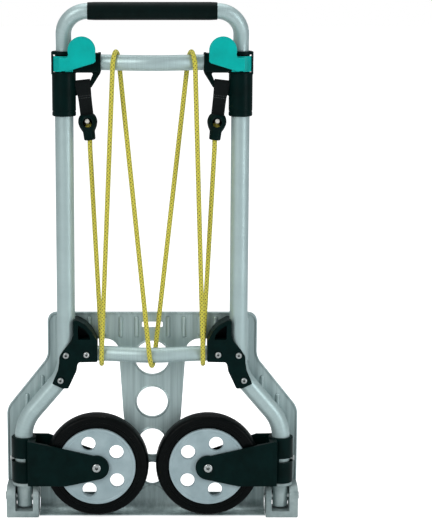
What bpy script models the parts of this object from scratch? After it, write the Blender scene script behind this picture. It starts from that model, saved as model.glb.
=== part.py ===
# Folding hand truck, folded: a telescopic handle in two S-bent frame tubes, a toe plate that
# folds down at the foot, and two wheels on arms that swing out as the toe plate comes down.
# Metres, +Z up. The tube axes lie in the plane y = 0, the toe plate is on the +Y (load) side and
# the wheels on the -Y (rear) side. side = -1 is the left half seen from the rear, side = +1 the right.

import math

import bmesh
import bpy
from mathutils import Matrix, Vector

# Driving dimensions
FIT_GAP = 0.0003
TUBE_WALL = 0.0015
FRAME_RADIUS = 0.013
HANDLE_RADIUS = 0.011
BAR_RADIUS = 0.011
TUBE_SIDES = 16
BORE_SIDES = 28
WHEEL_STEPS = 36

FRAME_HALF = 0.124
POST_HALF = 0.187
FRAME_TOP_Z = 0.645
UPPER_BEND_Z = 0.2147
LOWER_BEND_Z = 0.1407
FRAME_END_Z = 0.0523
BEND_RADIUS = 0.060

HANDLE_END_Z = 0.262
HANDLE_KINK_Z = 0.688
HANDLE_BAR_Y = -0.013
HANDLE_BAR_Z = 0.7325
HANDLE_BEND_RADIUS = 0.034
GRIP_HALF = 0.090
GRIP_RADIUS = 0.0125

TOP_BAR_Z = 0.661
TOP_BAR_BOW = 0.018
LOW_BAR_Z = 0.243
LOW_BAR_BOW = 0.013
BAR_HALF = 0.104
BAR_BOW_HALF = 0.084

COLLAR_RADIUS = 0.0168
COLLAR_LOW_Z = 0.586
COLLAR_TOP_Z = 0.678
NECK_RADIUS = 0.0124
NECK_LOW_Z = 0.6470
NECK_TOP_Z = 0.6740
SOCKET_HALF_DEPTH = 0.013
LOOP_HALF_DEPTH = 0.0035

LEVER_PIVOT_Z = 0.660
LEVER_LOW_Z = 0.650
LEVER_TOP_Z = 0.6706
LEVER_INNER = 0.0144
LEVER_OUTER = 0.0164
PADDLE_X = 0.098
PADDLE_Z = 0.679
PADDLE_RADIUS = 0.0194
PADDLE_REAR_Y = -0.030
PADDLE_FRONT_Y = -0.0238
LOCK_PIN_Z = 0.6545
LOCK_PIN_RADIUS = 0.002

STRAP_HALF_WIDTH = 0.00925
STRAP_LEAN = math.radians(6.45)
BUCKLE_END = (0.088, 0.0, 0.552)
CORD_RADIUS = 0.0035
CORD_WRAP = BAR_RADIUS + CORD_RADIUS + 0.0008
CORD_WRAP_STEPS = 9

BRACKET_HALF_DEPTH = 0.0175
BRACKET_SCREWS = {"upper": (0.124, 0.243), "inner": (0.0945, 0.244), "lower": (0.132, 0.206)}

PIVOT_Z = 0.0295
PLUG_RADIUS = 0.011
SLEEVE_RADIUS = 0.018
SLEEVE_LOW_Z = 0.052
SLEEVE_TOP_Z = 0.1195
SLOT_Z = 0.0863
SLOT_HALF = 0.0031

AXLE_X = 0.0805
AXLE_Z = 0.080
WHEEL_RADIUS = 0.075
RIM_RADIUS = 0.0555
TYRE_REAR_Y = -0.022
TYRE_FRONT_Y = 0.008
HUB_FACE_Y = -0.025
HUB_HOLE_RADIUS = 0.01025
HUB_HOLE_CIRCLE = 0.036
HUB_HOLES = 5
HUB_HOLE_START = math.radians(181)
CHEEK_REAR_Y = -0.0316
CHEEK_INNER_Y = -0.0257
CHEEK_BACK_Y = 0.0115
CHEEK_FRONT_Y = 0.017
BUSH_RADIUS = 0.006
AXLE_RADIUS = 0.004

SHEET_Y = 0.02305
SHEET_HALF = 0.00125
RIM_HALF_DEPTH = 0.00355
RIM_WALL = 0.0024
PLATE_TOP_Z = 0.299
PLATE_TOP_HALF = 0.152
PLATE_HALF = 0.2125
FOOT_INNER = 0.1656
FOOT_TOP_Z = 0.0465
FOOT_CAVITY = (0.174, 0.200)
BEAD_PITCH = 0.0229
BEAD_HALF_WIDTH = 0.003
BEND_INNER_EDGE_Y = -0.006
HEEL_RADIUS = 0.0185

parts = bpy.data.collections.new("folding_hand_truck")
helpers = bpy.data.collections.new("cutters")


def clear_scene():
    for obj in list(bpy.data.objects):
        bpy.data.objects.remove(obj)
    bpy.context.scene.collection.children.link(parts)
    bpy.context.scene.collection.children.link(helpers)


def make_material(name, colour, metallic, roughness):
    material = bpy.data.materials.new(name)
    material.use_nodes = True
    shader = material.node_tree.nodes["Principled BSDF"]
    shader.inputs["Base Color"].default_value = (*colour, 1.0)
    shader.inputs["Metallic"].default_value = metallic
    shader.inputs["Roughness"].default_value = roughness
    material.diffuse_color = (*colour, 1.0)
    return material


MATERIALS = {
    "frame": make_material("frame_aluminium", (0.62, 0.67, 0.70), 0.9, 0.38),
    "plate": make_material("plate_aluminium", (0.50, 0.54, 0.54), 0.9, 0.45),
    "cast": make_material("cast_aluminium", (0.62, 0.66, 0.66), 0.8, 0.55),
    "plastic": make_material("black_plastic", (0.012, 0.022, 0.024), 0.0, 0.45),
    "teal": make_material("teal_plastic", (0.01, 0.38, 0.33), 0.0, 0.40),
    "cord": make_material("yellow_cord", (0.72, 0.62, 0.10), 0.0, 0.85),
    "webbing": make_material("black_webbing", (0.012, 0.014, 0.016), 0.0, 0.90),
    "hub": make_material("grey_hub", (0.50, 0.57, 0.61), 0.0, 0.45),
    "tyre": make_material("tyre_rubber", (0.012, 0.013, 0.014), 0.0, 0.70),
    "zinc": make_material("zinc_steel", (0.72, 0.72, 0.70), 1.0, 0.30),
    "grip": make_material("grip_foam", (0.015, 0.016, 0.017), 0.0, 0.80),
}


def add_part(name, mesh, finish):
    obj = bpy.data.objects.new(name, mesh)
    obj.data.materials.append(MATERIALS[finish])
    parts.objects.link(obj)
    return obj


def add_helper(name, mesh):
    obj = bpy.data.objects.new(name, mesh)
    obj.hide_render = True
    obj.display_type = "WIRE"
    helpers.objects.link(obj)
    return obj


def boolean(obj, helper, operation, solver="EXACT"):
    modifier = obj.modifiers.new(helper.name, "BOOLEAN")
    modifier.operation = operation
    modifier.solver = solver
    modifier.object = helper


def cut(obj, mesh, name):
    boolean(obj, add_helper(obj.name + "_" + name, mesh), "DIFFERENCE")


def join(obj, mesh, name, solver="EXACT"):
    boolean(obj, add_helper(obj.name + "_" + name, mesh), "UNION", solver)


def soften(obj, width, segments):
    modifier = obj.modifiers.new("edges", "BEVEL")
    modifier.width = width
    modifier.segments = segments
    modifier.limit_method = "ANGLE"
    modifier.angle_limit = math.radians(50)


def smooth(obj):
    obj.data.shade_smooth()
    obj.data.set_sharp_from_angle(angle=math.radians(35))


def make_joint(name, location, parent=None):
    empty = bpy.data.objects.new(name, None)
    empty.location = location
    parts.objects.link(empty)
    if parent is not None:
        attach(empty, parent)
    return empty


def world_of(empty):
    place = empty.location.copy()
    return place + world_of(empty.parent) if empty.parent else place


def attach(obj, empty):
    obj.location = obj.location - world_of(empty)
    obj.parent = empty


# Paths and outlines
def fillet(before, corner, after, radius, steps):
    corner = Vector(corner)
    to_before = (Vector(before) - corner).normalized()
    to_after = (Vector(after) - corner).normalized()
    half = to_before.angle(to_after) / 2
    centre = corner + (to_before + to_after).normalized() * radius / math.sin(half)
    reach = radius / math.tan(half)
    first = (corner + to_before * reach - centre).normalized()
    last = (corner + to_after * reach - centre).normalized()
    return [centre + first.slerp(last, i / steps) * radius for i in range(steps + 1)]


def rounded_path(corners, radii, steps=5):
    points = [Vector(corners[0])]
    for i, radius in enumerate(radii):
        points += fillet(corners[i], corners[i + 1], corners[i + 2], radius, steps)
    return points + [Vector(corners[-1])]


def rounded_outline(corners, radii, steps=5):
    points = []
    count = len(corners)
    for i, radius in enumerate(radii):
        flat = [(*corners[(i + k) % count], 0.0) for k in (-1, 0, 1)]
        if radius:
            points += [tuple(p.xy) for p in fillet(*flat, radius, steps)]
        else:
            points.append(corners[i])
    return points


def circle(x, z, radius, sides=32, start=0.0):
    turns = [start + math.tau * i / sides for i in range(sides)]
    return [(x + radius * math.cos(a), z + radius * math.sin(a)) for a in turns]


def mirrored(outline, side):
    return [(side * x, z) for x, z in outline]


def bar_y(x, bow):
    if abs(x) >= BAR_BOW_HALF:
        return 0.0
    return -bow * math.cos(math.pi * x / (2 * BAR_BOW_HALF)) ** 2


def bar_path(z, bow, steps=12):
    xs = [-BAR_HALF + 2 * BAR_HALF * i / steps for i in range(steps + 1)]
    return [Vector((x, bar_y(x, bow), z)) for x in xs]


def bar_bore(z, bow):
    # The bar with a fit gap all round and at its ends.
    points = bar_path(z, bow)
    points[0].x -= FIT_GAP
    points[-1].x += FIT_GAP
    return tube_mesh("bar", points, BAR_RADIUS + FIT_GAP)


def frame_path(side):
    corners = (
        (side * FRAME_HALF, 0, FRAME_TOP_Z),
        (side * FRAME_HALF, 0, UPPER_BEND_Z),
        (side * POST_HALF, 0, LOWER_BEND_Z),
        (side * POST_HALF, 0, FRAME_END_Z),
    )
    return rounded_path(corners, (BEND_RADIUS, BEND_RADIUS))


def handle_path():
    corners = (
        (-FRAME_HALF, 0, HANDLE_END_Z),
        (-FRAME_HALF, 0, HANDLE_KINK_Z),
        (-FRAME_HALF, HANDLE_BAR_Y, HANDLE_BAR_Z),
        (FRAME_HALF, HANDLE_BAR_Y, HANDLE_BAR_Z),
        (FRAME_HALF, 0, HANDLE_KINK_Z),
        (FRAME_HALF, 0, HANDLE_END_Z),
    )
    return rounded_path(corners, (0.05, HANDLE_BEND_RADIUS, HANDLE_BEND_RADIUS, 0.05), 4)


# Meshes
def outward(mesh):
    work = bmesh.new()
    work.from_mesh(mesh)
    bmesh.ops.remove_doubles(work, verts=work.verts, dist=1e-6)
    bmesh.ops.recalc_face_normals(work, faces=work.faces)
    work.to_mesh(mesh)
    work.free()
    return mesh


def mesh_of_curve(curve):
    obj = bpy.data.objects.new(curve.name, curve)
    bpy.context.scene.collection.objects.link(obj)
    graph = bpy.context.evaluated_depsgraph_get()
    mesh = bpy.data.meshes.new_from_object(obj.evaluated_get(graph))
    bpy.data.objects.remove(obj)
    return mesh


def tube_mesh(name, points, radius, sides=TUBE_SIDES, caps=True):
    curve = bpy.data.curves.new(name, "CURVE")
    curve.dimensions = "3D"
    curve.bevel_depth = radius
    curve.bevel_resolution = sides // 2 - 2
    curve.use_fill_caps = caps
    spline = curve.splines.new("POLY")
    spline.points.add(len(points) - 1)
    for place, point in zip(spline.points, points):
        place.co = (*point, 1.0)
    return outward(mesh_of_curve(curve))


PLANES = {
    "XY": Matrix(((1, 0, 0), (0, 1, 0), (0, 0, 1))),
    "XZ": Matrix(((1, 0, 0), (0, 0, -1), (0, 1, 0))),
    "YZ": Matrix(((0, 0, 1), (1, 0, 0), (0, 1, 0))),
}


def sheet_mesh(name, outlines, plane, low, high):
    # A flat outline, with any further outlines as holes, that is as thick as from low to high.
    curve = bpy.data.curves.new(name, "CURVE")
    curve.dimensions = "2D"
    curve.fill_mode = "BOTH"
    curve.extrude = (high - low) / 2
    for outline in outlines:
        spline = curve.splines.new("POLY")
        spline.use_cyclic_u = True
        spline.points.add(len(outline) - 1)
        for place, point in zip(spline.points, outline):
            place.co = (*point, 0.0, 1.0)
    mesh = mesh_of_curve(curve)
    turn = PLANES[plane].to_4x4()
    normal = {"XY": (0, 0, 1), "XZ": (0, 1, 0), "YZ": (1, 0, 0)}[plane]
    middle = Vector(normal) * (low + high) / 2
    mesh.transform(Matrix.Translation(middle) @ turn)
    return outward(mesh)


def ribbon_mesh(name, points, half_width):
    # An open strip that stands on a line of points in the XZ plane, as wide in Y as half_width twice.
    curve = bpy.data.curves.new(name, "CURVE")
    curve.dimensions = "2D"
    curve.fill_mode = "NONE"
    curve.extrude = half_width
    spline = curve.splines.new("POLY")
    spline.points.add(len(points) - 1)
    for place, point in zip(spline.points, points):
        place.co = (*point, 0.0, 1.0)
    return mesh_of_curve(curve)


def rod_mesh(name, start, end, radius, sides=16):
    start = Vector(start)
    along = Vector(end) - start
    mesh = bpy.data.meshes.new(name)
    work = bmesh.new()
    bmesh.ops.create_cone(
        work, cap_ends=True, segments=sides, radius1=radius, radius2=radius, depth=along.length
    )
    turn = along.to_track_quat("Z", "Y").to_matrix().to_4x4()
    bmesh.ops.transform(work, matrix=Matrix.Translation(start + along / 2) @ turn, verts=work.verts)
    work.to_mesh(mesh)
    work.free()
    return mesh


def block_mesh(name, low, high):
    low, high = Vector(low), Vector(high)
    mesh = bpy.data.meshes.new(name)
    work = bmesh.new()
    bmesh.ops.create_cube(work, size=1.0)
    size = Matrix.Diagonal((*[abs(h - l) for h, l in zip(high, low)], 1.0))
    bmesh.ops.transform(
        work, matrix=Matrix.Translation((low + high) / 2) @ size, verts=work.verts
    )
    work.to_mesh(mesh)
    work.free()
    return mesh


TURNS = {"Z": (0, 0, 0), "Y": (-math.pi / 2, 0, 0), "X": (0, math.pi / 2, 0)}


def turned(name, profile, finish, axis, centre, steps=24, ring=False):
    # profile is (radius, height) down the outer side from the top; a ring closes back up its bore.
    mesh = bpy.data.meshes.new(name)
    work = bmesh.new()
    points = [work.verts.new((radius, 0, height)) for radius, height in profile]
    pairs = list(zip(points, points[1:]))
    if ring:
        pairs.append((points[-1], points[0]))
    for pair in pairs:
        work.edges.new(pair)
    work.to_mesh(mesh)
    work.free()
    obj = add_part(name, mesh, finish)
    obj.location = centre
    obj.rotation_euler = TURNS[axis]
    screw = obj.modifiers.new("turn", "SCREW")
    screw.steps = steps
    screw.render_steps = steps
    screw.use_merge_vertices = True
    screw.merge_threshold = 0.00001
    screw.use_smooth_shade = True
    return obj


# Frame tubes and crossbars
def hollow_tube(name, points, radius, finish):
    obj = add_part(name, tube_mesh(name, points, radius, caps=False), finish)
    wall = obj.modifiers.new("wall", "SOLIDIFY")
    wall.thickness = TUBE_WALL
    wall.offset = -1.0
    wall.use_even_offset = True
    smooth(obj)
    return obj


def make_frame_tube(side, label):
    tube = hollow_tube(label + "_frame_tube", frame_path(side), FRAME_RADIUS, "frame")
    for place in ("upper", "lower"):
        x, z = BRACKET_SCREWS[place]
        cut(tube, rod_mesh("hole", (side * x, -0.02, z), (side * x, 0.02, z), 0.0025), place)
    start = (side * (POST_HALF + 0.008), 0, SLOT_Z)
    end = (side * (POST_HALF + 0.016), 0, SLOT_Z)
    cut(tube, rod_mesh("hole", start, end, 0.003), "stop")


def make_crossbars():
    hollow_tube("top_crossbar", bar_path(TOP_BAR_Z, TOP_BAR_BOW), BAR_RADIUS, "frame")
    bar = hollow_tube("lower_crossbar", bar_path(LOW_BAR_Z, LOW_BAR_BOW), BAR_RADIUS, "frame")
    x, z = BRACKET_SCREWS["inner"]
    for side in (-1, 1):
        cut(bar, rod_mesh("hole", (side * x, -0.02, z), (side * x, 0.02, z), 0.0025), f"at_{side}")


# Telescopic handle
def make_handle():
    slide = make_joint("handle_slide", (0, 0, FRAME_TOP_Z))
    tube = hollow_tube("handle_tube", handle_path(), HANDLE_RADIUS, "frame")
    bore = HANDLE_RADIUS + FIT_GAP
    profile = (
        (GRIP_RADIUS - 0.0006, GRIP_HALF),
        (GRIP_RADIUS, GRIP_HALF - 0.010),
        (GRIP_RADIUS, 0.0),
        (GRIP_RADIUS, 0.010 - GRIP_HALF),
        (GRIP_RADIUS - 0.0006, -GRIP_HALF),
        (bore, -GRIP_HALF),
        (bore, GRIP_HALF),
    )
    place = (0, HANDLE_BAR_Y, HANDLE_BAR_Z)
    grip = turned("grip", profile, "grip", "X", place, 24, ring=True)
    for obj in (tube, grip):
        attach(obj, slide)
    for side, label in ((-1, "left"), (1, "right")):
        head = HANDLE_RADIUS
        spigot = HANDLE_RADIUS - TUBE_WALL - FIT_GAP
        glide = (
            (0, 0.018),
            (spigot, 0.018),
            (spigot, -FIT_GAP),
            (head, -FIT_GAP),
            (head, -0.011),
            (head - 0.001, -0.012),
            (0, -0.012),
        )
        centre = (side * FRAME_HALF, 0, HANDLE_END_Z)
        attach(turned(label + "_handle_glide", glide, "plastic", "Z", centre), slide)


# Collars at the tops of the frame tubes
def make_collar(side, label):
    profile = (
        (0, COLLAR_TOP_Z),
        (COLLAR_RADIUS - 0.0012, COLLAR_TOP_Z),
        (COLLAR_RADIUS, COLLAR_TOP_Z - 0.0012),
        (COLLAR_RADIUS, NECK_TOP_Z),
        (NECK_RADIUS, NECK_TOP_Z),
        (NECK_RADIUS, NECK_LOW_Z),
        (COLLAR_RADIUS, NECK_LOW_Z),
        (COLLAR_RADIUS, COLLAR_LOW_Z + 0.002),
        (COLLAR_RADIUS - 0.002, COLLAR_LOW_Z),
        (0, COLLAR_LOW_Z),
    )
    x = side * FRAME_HALF
    collar = turned(label + "_collar", profile, "plastic", "Z", (x, 0, 0), 28)
    deep = SOCKET_HALF_DEPTH
    socket = block_mesh("socket", (side * 0.072, -deep, 0.648), (x, deep, 0.676))
    join(collar, socket, "socket")
    outer = [(0.0725, 0.650), (0.0725, 0.646), (0.0845, 0.627), (0.090, 0.6215)]
    outer += [(0.103, 0.6155), (0.110, 0.6135), (0.110, 0.650)]
    window = [(0.0825, 0.6465), (0.1075, 0.6465), (0.1075, 0.622), (0.1035, 0.6275), (0.0885, 0.632)]
    outlines = [mirrored(outer, side), mirrored(window, side)]
    loop = sheet_mesh("loop", outlines, "XZ", -LOOP_HALF_DEPTH, LOOP_HALF_DEPTH)
    join(collar, loop, "loop")
    start = (side * (FRAME_HALF + 0.0118), 0, LEVER_PIVOT_Z)
    end = (side * (FRAME_HALF + 0.0132), 0, LEVER_PIVOT_Z)
    join(collar, rod_mesh("boss", start, end, 0.0045), "boss")
    bore = FRAME_RADIUS + FIT_GAP
    cut(collar, rod_mesh("bore", (x, 0, 0.57), (x, 0, FRAME_TOP_Z + FIT_GAP), bore, BORE_SIDES), "bore")
    slide_bore = HANDLE_RADIUS + FIT_GAP
    cut(collar, rod_mesh("bore", (x, 0, 0.60), (x, 0, 0.70), slide_bore, BORE_SIDES), "slide")
    cut(collar, bar_bore(TOP_BAR_Z, TOP_BAR_BOW), "bar")
    pin_hole = LOCK_PIN_RADIUS + FIT_GAP
    cut(collar, rod_mesh("pin", (x, -0.010, LOCK_PIN_Z), (x, -0.020, LOCK_PIN_Z), pin_hole), "pin")
    start = (side * (FRAME_HALF + 0.0116), 0, LEVER_PIVOT_Z)
    end = (side * (FRAME_HALF + 0.020), 0, LEVER_PIVOT_Z)
    cut(collar, rod_mesh("pivot", start, end, 0.0034), "pivot")


# Release levers on the collars, with the lock pins that they draw back
def band_outline(side, inner, outer, first, last, steps=10):
    turns = [first + (last - first) * i / steps for i in range(steps + 1)]
    points = [(FRAME_HALF + outer * math.cos(a), -outer * math.sin(a)) for a in turns]
    points += [(0.1105, -outer), (0.1105, -inner)]
    points += [(FRAME_HALF + inner * math.cos(a), -inner * math.sin(a)) for a in reversed(turns)]
    return mirrored(points, side)


def make_lever(side, label):
    pivot = make_joint(label + "_lever_pivot", (side * 0.139, 0, LEVER_PIVOT_Z))
    band = band_outline(side, LEVER_INNER, LEVER_OUTER, math.radians(-10), math.pi / 2)
    mesh = sheet_mesh("band", [band], "XY", LEVER_LOW_Z, LEVER_TOP_Z)
    lever = add_part(label + "_release_lever", mesh, "teal")
    web = block_mesh("web", (side * 0.1195, -0.0245, 0.6502), (side * 0.111, -0.0152, 0.6704))
    join(lever, web, "web")
    turns = [math.radians(a) for a in range(-8, 204, 12)]
    paddle = [(PADDLE_X - PADDLE_RADIUS * math.cos(a), PADDLE_Z + PADDLE_RADIUS * math.sin(a)) for a in turns]
    paddle += [(0.1180, 0.6702), (0.1290, 0.6702), (0.1290, 0.6504), (0.1170, 0.6504)]
    paddle += [(0.0815, 0.6613), (0.0786, 0.6635)]
    plate = sheet_mesh("paddle", [mirrored(paddle, side)], "XZ", PADDLE_REAR_Y, PADDLE_FRONT_Y)
    join(lever, plate, "paddle")
    start = (side * (FRAME_HALF + 0.0120), 0, LEVER_PIVOT_Z)
    end = (side * (FRAME_HALF + LEVER_INNER + 0.0008), 0, LEVER_PIVOT_Z)
    join(lever, rod_mesh("stub", start, end, 0.003), "stub")
    x = side * FRAME_HALF
    notch = block_mesh("notch", (x - 0.0026, -0.0180, 0.6485), (x + 0.0026, -0.0130, 0.6571))
    cut(lever, notch, "notch")
    attach(lever, pivot)
    guide = make_joint(label + "_lock_pin_slide", (side * FRAME_HALF, 0, LOCK_PIN_Z))
    start = (side * FRAME_HALF, -0.0158, LOCK_PIN_Z)
    end = (side * FRAME_HALF, -0.0114, LOCK_PIN_Z)
    pin = add_part(label + "_lock_pin", rod_mesh("pin", start, end, LOCK_PIN_RADIUS), "zinc")
    attach(pin, guide)


# Strap, cord buckle and elastic cord
def lean(obj, side):
    obj.rotation_euler = (0, -side * -STRAP_LEAN, 0)


def make_strap(side, label):
    # A webbing loop folded over the collar's bar, in a frame whose zero is the buckle's lower end.
    outer = [(-0.0020, 0.036), (-0.0020, 0.049), (-0.0060, 0.0595), (-0.0060, 0.0820), (-0.0040, 0.0852)]
    outer += [(-y, z) for y, z in reversed(outer)]
    hole = [(-0.0007, 0.0535), (-0.0043, 0.0610), (-0.0043, 0.0812), (-0.0030, 0.0832)]
    hole += [(-y, z) for y, z in reversed(hole)]
    mesh = sheet_mesh("strap", [outer, hole], "YZ", -STRAP_HALF_WIDTH, STRAP_HALF_WIDTH)
    strap = add_part(label + "_strap", mesh, "webbing")
    strap.location = (side * BUCKLE_END[0], BUCKLE_END[1], BUCKLE_END[2])
    lean(strap, side)


def make_buckle(side, label):
    profile = (
        (0, 0.0355),
        (0.0095, 0.0355),
        (0.0115, 0.0335),
        (0.0136, 0.0280),
        (0.0136, 0.0240),
        (0.0115, 0.0165),
        (0.0086, 0.0125),
        (0.0080, 0.0015),
        (0.0072, 0.0),
        (0, 0.0),
    )
    place = (side * BUCKLE_END[0], BUCKLE_END[1], BUCKLE_END[2])
    buckle = turned(label + "_cord_buckle", profile, "plastic", "Z", place, 22)
    lean(buckle, side)
    turn = Matrix.Rotation(side * STRAP_LEAN, 4, "Y")
    up = turn @ Vector((0, 0, 1))
    foot = Vector(place)
    cut(buckle, rod_mesh("bore", foot - 0.01 * up, foot + 0.026 * up, 0.0044), "bore")
    eye = foot + 0.024 * up
    cut(buckle, rod_mesh("eye", eye, eye + Vector((0, -0.02, 0)), 0.0062, 20), "eye")


def wrap(bar_z, bow, x_first, x_last, first, last, steps=CORD_WRAP_STEPS):
    # Points on a turn of cord round a bar; angle 0 is the load side and 90 degrees is the top.
    points = []
    for i in range(steps + 1):
        share = i / steps
        angle = math.radians(first + (last - first) * share)
        x = x_first + (x_last - x_first) * share
        y = bar_y(x, bow) + CORD_WRAP * math.cos(angle)
        points.append(Vector((x, y, bar_z + CORD_WRAP * math.sin(angle))))
    return points


def cord_route():
    lean_x = math.tan(STRAP_LEAN)
    route = []
    for side in (-1, 1):
        x, y, z = side * BUCKLE_END[0], BUCKLE_END[1], BUCKLE_END[2]
        ends = [Vector((x + side * lean_x * rise, y, z + rise)) for rise in (0.018, 0.009, 0.0)]
        ends += [Vector((x - side * 0.0002, y + 0.0002, z - 0.010))]
        route.append(ends)
    left, right = route
    points = left
    points += wrap(LOW_BAR_Z, LOW_BAR_BOW, -0.0733, -0.0728, 3, -183)
    points += wrap(TOP_BAR_Z, TOP_BAR_BOW, -0.0550, -0.0470, 177, 5)
    points += wrap(LOW_BAR_Z, LOW_BAR_BOW, -0.0040, 0.0040, -185, 5)
    points += wrap(TOP_BAR_Z, TOP_BAR_BOW, 0.0497, 0.0596, -5, 183)
    points += wrap(LOW_BAR_Z, LOW_BAR_BOW, 0.0728, 0.0733, -177, 3)
    points += list(reversed(right))
    return points


def between(points, spacing=0.045):
    # A long straight stretch gets points of its own, so that the cord is evenly divided.
    route = [points[0]]
    for first, last in zip(points, points[1:]):
        extra = int((last - first).length // spacing)
        route += [first.lerp(last, (i + 1) / (extra + 1)) for i in range(extra)]
        route.append(last)
    return route


def make_cord():
    mesh = tube_mesh("cord", between(cord_route()), CORD_RADIUS, 8)
    smooth(add_part("elastic_cord", mesh, "cord"))


# Corner brackets that clamp the lower crossbar to the frame tubes
def make_bracket(side, label):
    outer = [(0.1135, 0.294), (0.108, 0.295), (0.096, 0.2885), (0.087, 0.279), (0.0815, 0.269)]
    outer += [(0.079, 0.264), (0.079, 0.2335), (0.105, 0.233), (0.1075, 0.2296), (0.109, 0.220)]
    outer += [(0.121, 0.1943), (0.1294, 0.1943), (0.144, 0.2013), (0.136, 0.220), (0.134, 0.2316)]
    outer += [(0.1336, 0.241), (0.1275, 0.251), (0.1166, 0.264), (0.1135, 0.2725)]
    window = [(0.1065, 0.288), (0.1065, 0.2665), (0.0885, 0.2665), (0.0905, 0.2735), (0.0965, 0.2815)]
    depth = BRACKET_HALF_DEPTH
    outlines = [mirrored(outer, side), mirrored(window, side)]
    mesh = sheet_mesh("bracket", outlines, "XZ", -depth, depth)
    bracket = add_part(label + "_corner_bracket", mesh, "plastic")
    soften(bracket, 0.0012, 1)
    cut(bracket, tube_mesh("tube", frame_path(side), FRAME_RADIUS + FIT_GAP), "tube")
    cut(bracket, bar_bore(LOW_BAR_Z, LOW_BAR_BOW), "bar")
    for place, (x, z) in BRACKET_SCREWS.items():
        x = side * x
        cut(bracket, rod_mesh("hole", (x, -0.025, z), (x, 0.0150, z), 0.0024), place)
        cut(bracket, rod_mesh("seat", (x, -0.025, z), (x, -0.0160, z), 0.0054), place + "_seat")
        screw = (
            (0, 0.0145),
            (0.0020, 0.0145),
            (0.0020, -0.0163),
            (0.0050, -0.0163),
            (0.0050, -0.0182),
            (0.0042, -0.0190),
            (0.0020, -0.0190),
            (0.0014, -0.0174),
            (0, -0.0174),
        )
        turned(f"{label}_bracket_screw_{place}", screw, "zinc", "Y", (x, 0, z), 12)


# Lower ends of the frame tubes
def make_post_end(side, label):
    x = side * POST_HALF
    spigot = FRAME_RADIUS - TUBE_WALL - FIT_GAP
    plug = (
        (0, 0.076),
        (spigot, 0.076),
        (spigot, FRAME_END_Z - FIT_GAP),
        (PLUG_RADIUS, FRAME_END_Z - FIT_GAP),
        (PLUG_RADIUS, 0.0165),
        (PLUG_RADIUS - 0.0025, 0.014),
        (0, 0.014),
    )
    foot = turned(label + "_foot_plug", plug, "cast", "Z", (x, 0, 0))
    hole = rod_mesh("hole", (side * 0.16, 0, PIVOT_Z), (side * 0.22, 0, PIVOT_Z), 0.0042, 20)
    cut(foot, hole, "pin")
    washer = (
        (0.0172, SLEEVE_LOW_Z - FIT_GAP),
        (0.0175, 0.0510),
        (0.0175, 0.0475),
        (PLUG_RADIUS + FIT_GAP, 0.0475),
        (PLUG_RADIUS + FIT_GAP, SLEEVE_LOW_Z - FIT_GAP),
    )
    turned(label + "_thrust_washer", washer, "cast", "Z", (x, 0, 0), 24, ring=True)
    screw = (
        (0, 0.0202),
        (0.0040, 0.0202),
        (0.0043, 0.0198),
        (0.0043, 0.0183),
        (0.0026, 0.0183),
        (0.0026, 0.0090),
        (0, 0.0090),
    )
    stop = turned(label + "_arm_stop_screw", screw, "zinc", "X", (x, 0, SLOT_Z), 16)
    if side < 0:
        stop.rotation_euler = (0, -math.pi / 2, 0)


# Wheel arms, axles and wheels
def slot_outline(side, inner, outer, first, last, steps=12):
    turns = [first + (last - first) * i / steps for i in range(steps + 1)]
    points = [(POST_HALF + outer * math.cos(a), -outer * math.sin(a)) for a in turns]
    points += [(POST_HALF + inner * math.cos(a), -inner * math.sin(a)) for a in reversed(turns)]
    return mirrored(points, side)


def axle_end(first, last, radius=0.018, steps=8):
    turns = [math.radians(first + (last - first) * i / steps) for i in range(steps + 1)]
    return [(AXLE_X - radius * math.cos(a), AXLE_Z + radius * math.sin(a)) for a in turns]


def make_arm(side, label):
    x = side * POST_HALF
    pivot = make_joint(label + "_arm_pivot", (x, 0, 0))
    profile = (
        (0, SLEEVE_TOP_Z),
        (SLEEVE_RADIUS - 0.001, SLEEVE_TOP_Z),
        (SLEEVE_RADIUS, SLEEVE_TOP_Z - 0.001),
        (SLEEVE_RADIUS, SLEEVE_LOW_Z + 0.001),
        (SLEEVE_RADIUS - 0.001, SLEEVE_LOW_Z),
        (0, SLEEVE_LOW_Z),
    )
    arm = turned(label + "_wheel_arm", profile, "plastic", "Z", (x, 0, 0), 32)
    rear = axle_end(103, -85) + [(0.124, 0.0522), (0.176, 0.0522), (0.176, 0.1190)]
    front = axle_end(60, -85) + [(0.124, 0.0522), (0.176, 0.0522), (0.176, 0.1192), (0.143, 0.1188)]
    yoke = [(0.150, 0.0524), (0.180, 0.0524), (0.180, 0.1188), (0.150, 0.1130)]
    pieces = (
        ("yoke", yoke, CHEEK_REAR_Y + 0.0002, CHEEK_FRONT_Y - 0.0002),
        ("rear_cheek", rear, CHEEK_REAR_Y, CHEEK_INNER_Y),
        ("front_cheek", front, CHEEK_BACK_Y, CHEEK_FRONT_Y),
    )
    for name, outline, low, high in pieces:
        join(arm, sheet_mesh(name, [mirrored(outline, side)], "XZ", low, high), name)
    bore = FRAME_RADIUS + FIT_GAP
    cut(arm, rod_mesh("bore", (x, 0, 0.03), (x, 0, 0.14), bore, BORE_SIDES), "bore")
    centre = side * AXLE_X
    well = rod_mesh("well", (centre, CHEEK_INNER_Y, AXLE_Z), (centre, CHEEK_BACK_Y, AXLE_Z), 0.0775, 48)
    cut(arm, well, "well")
    slot = slot_outline(side, 0.0125, 0.022, math.radians(-11), math.radians(101))
    cut(arm, sheet_mesh("slot", [slot], "XY", SLOT_Z - SLOT_HALF, SLOT_Z + SLOT_HALF), "slot")
    hole = rod_mesh("hole", (centre, -0.04, AXLE_Z), (centre, 0.03, AXLE_Z), AXLE_RADIUS + FIT_GAP)
    cut(arm, hole, "axle")
    attach(arm, pivot)
    make_axle(side, label, pivot)
    make_wheel(side, label, pivot)


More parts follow.
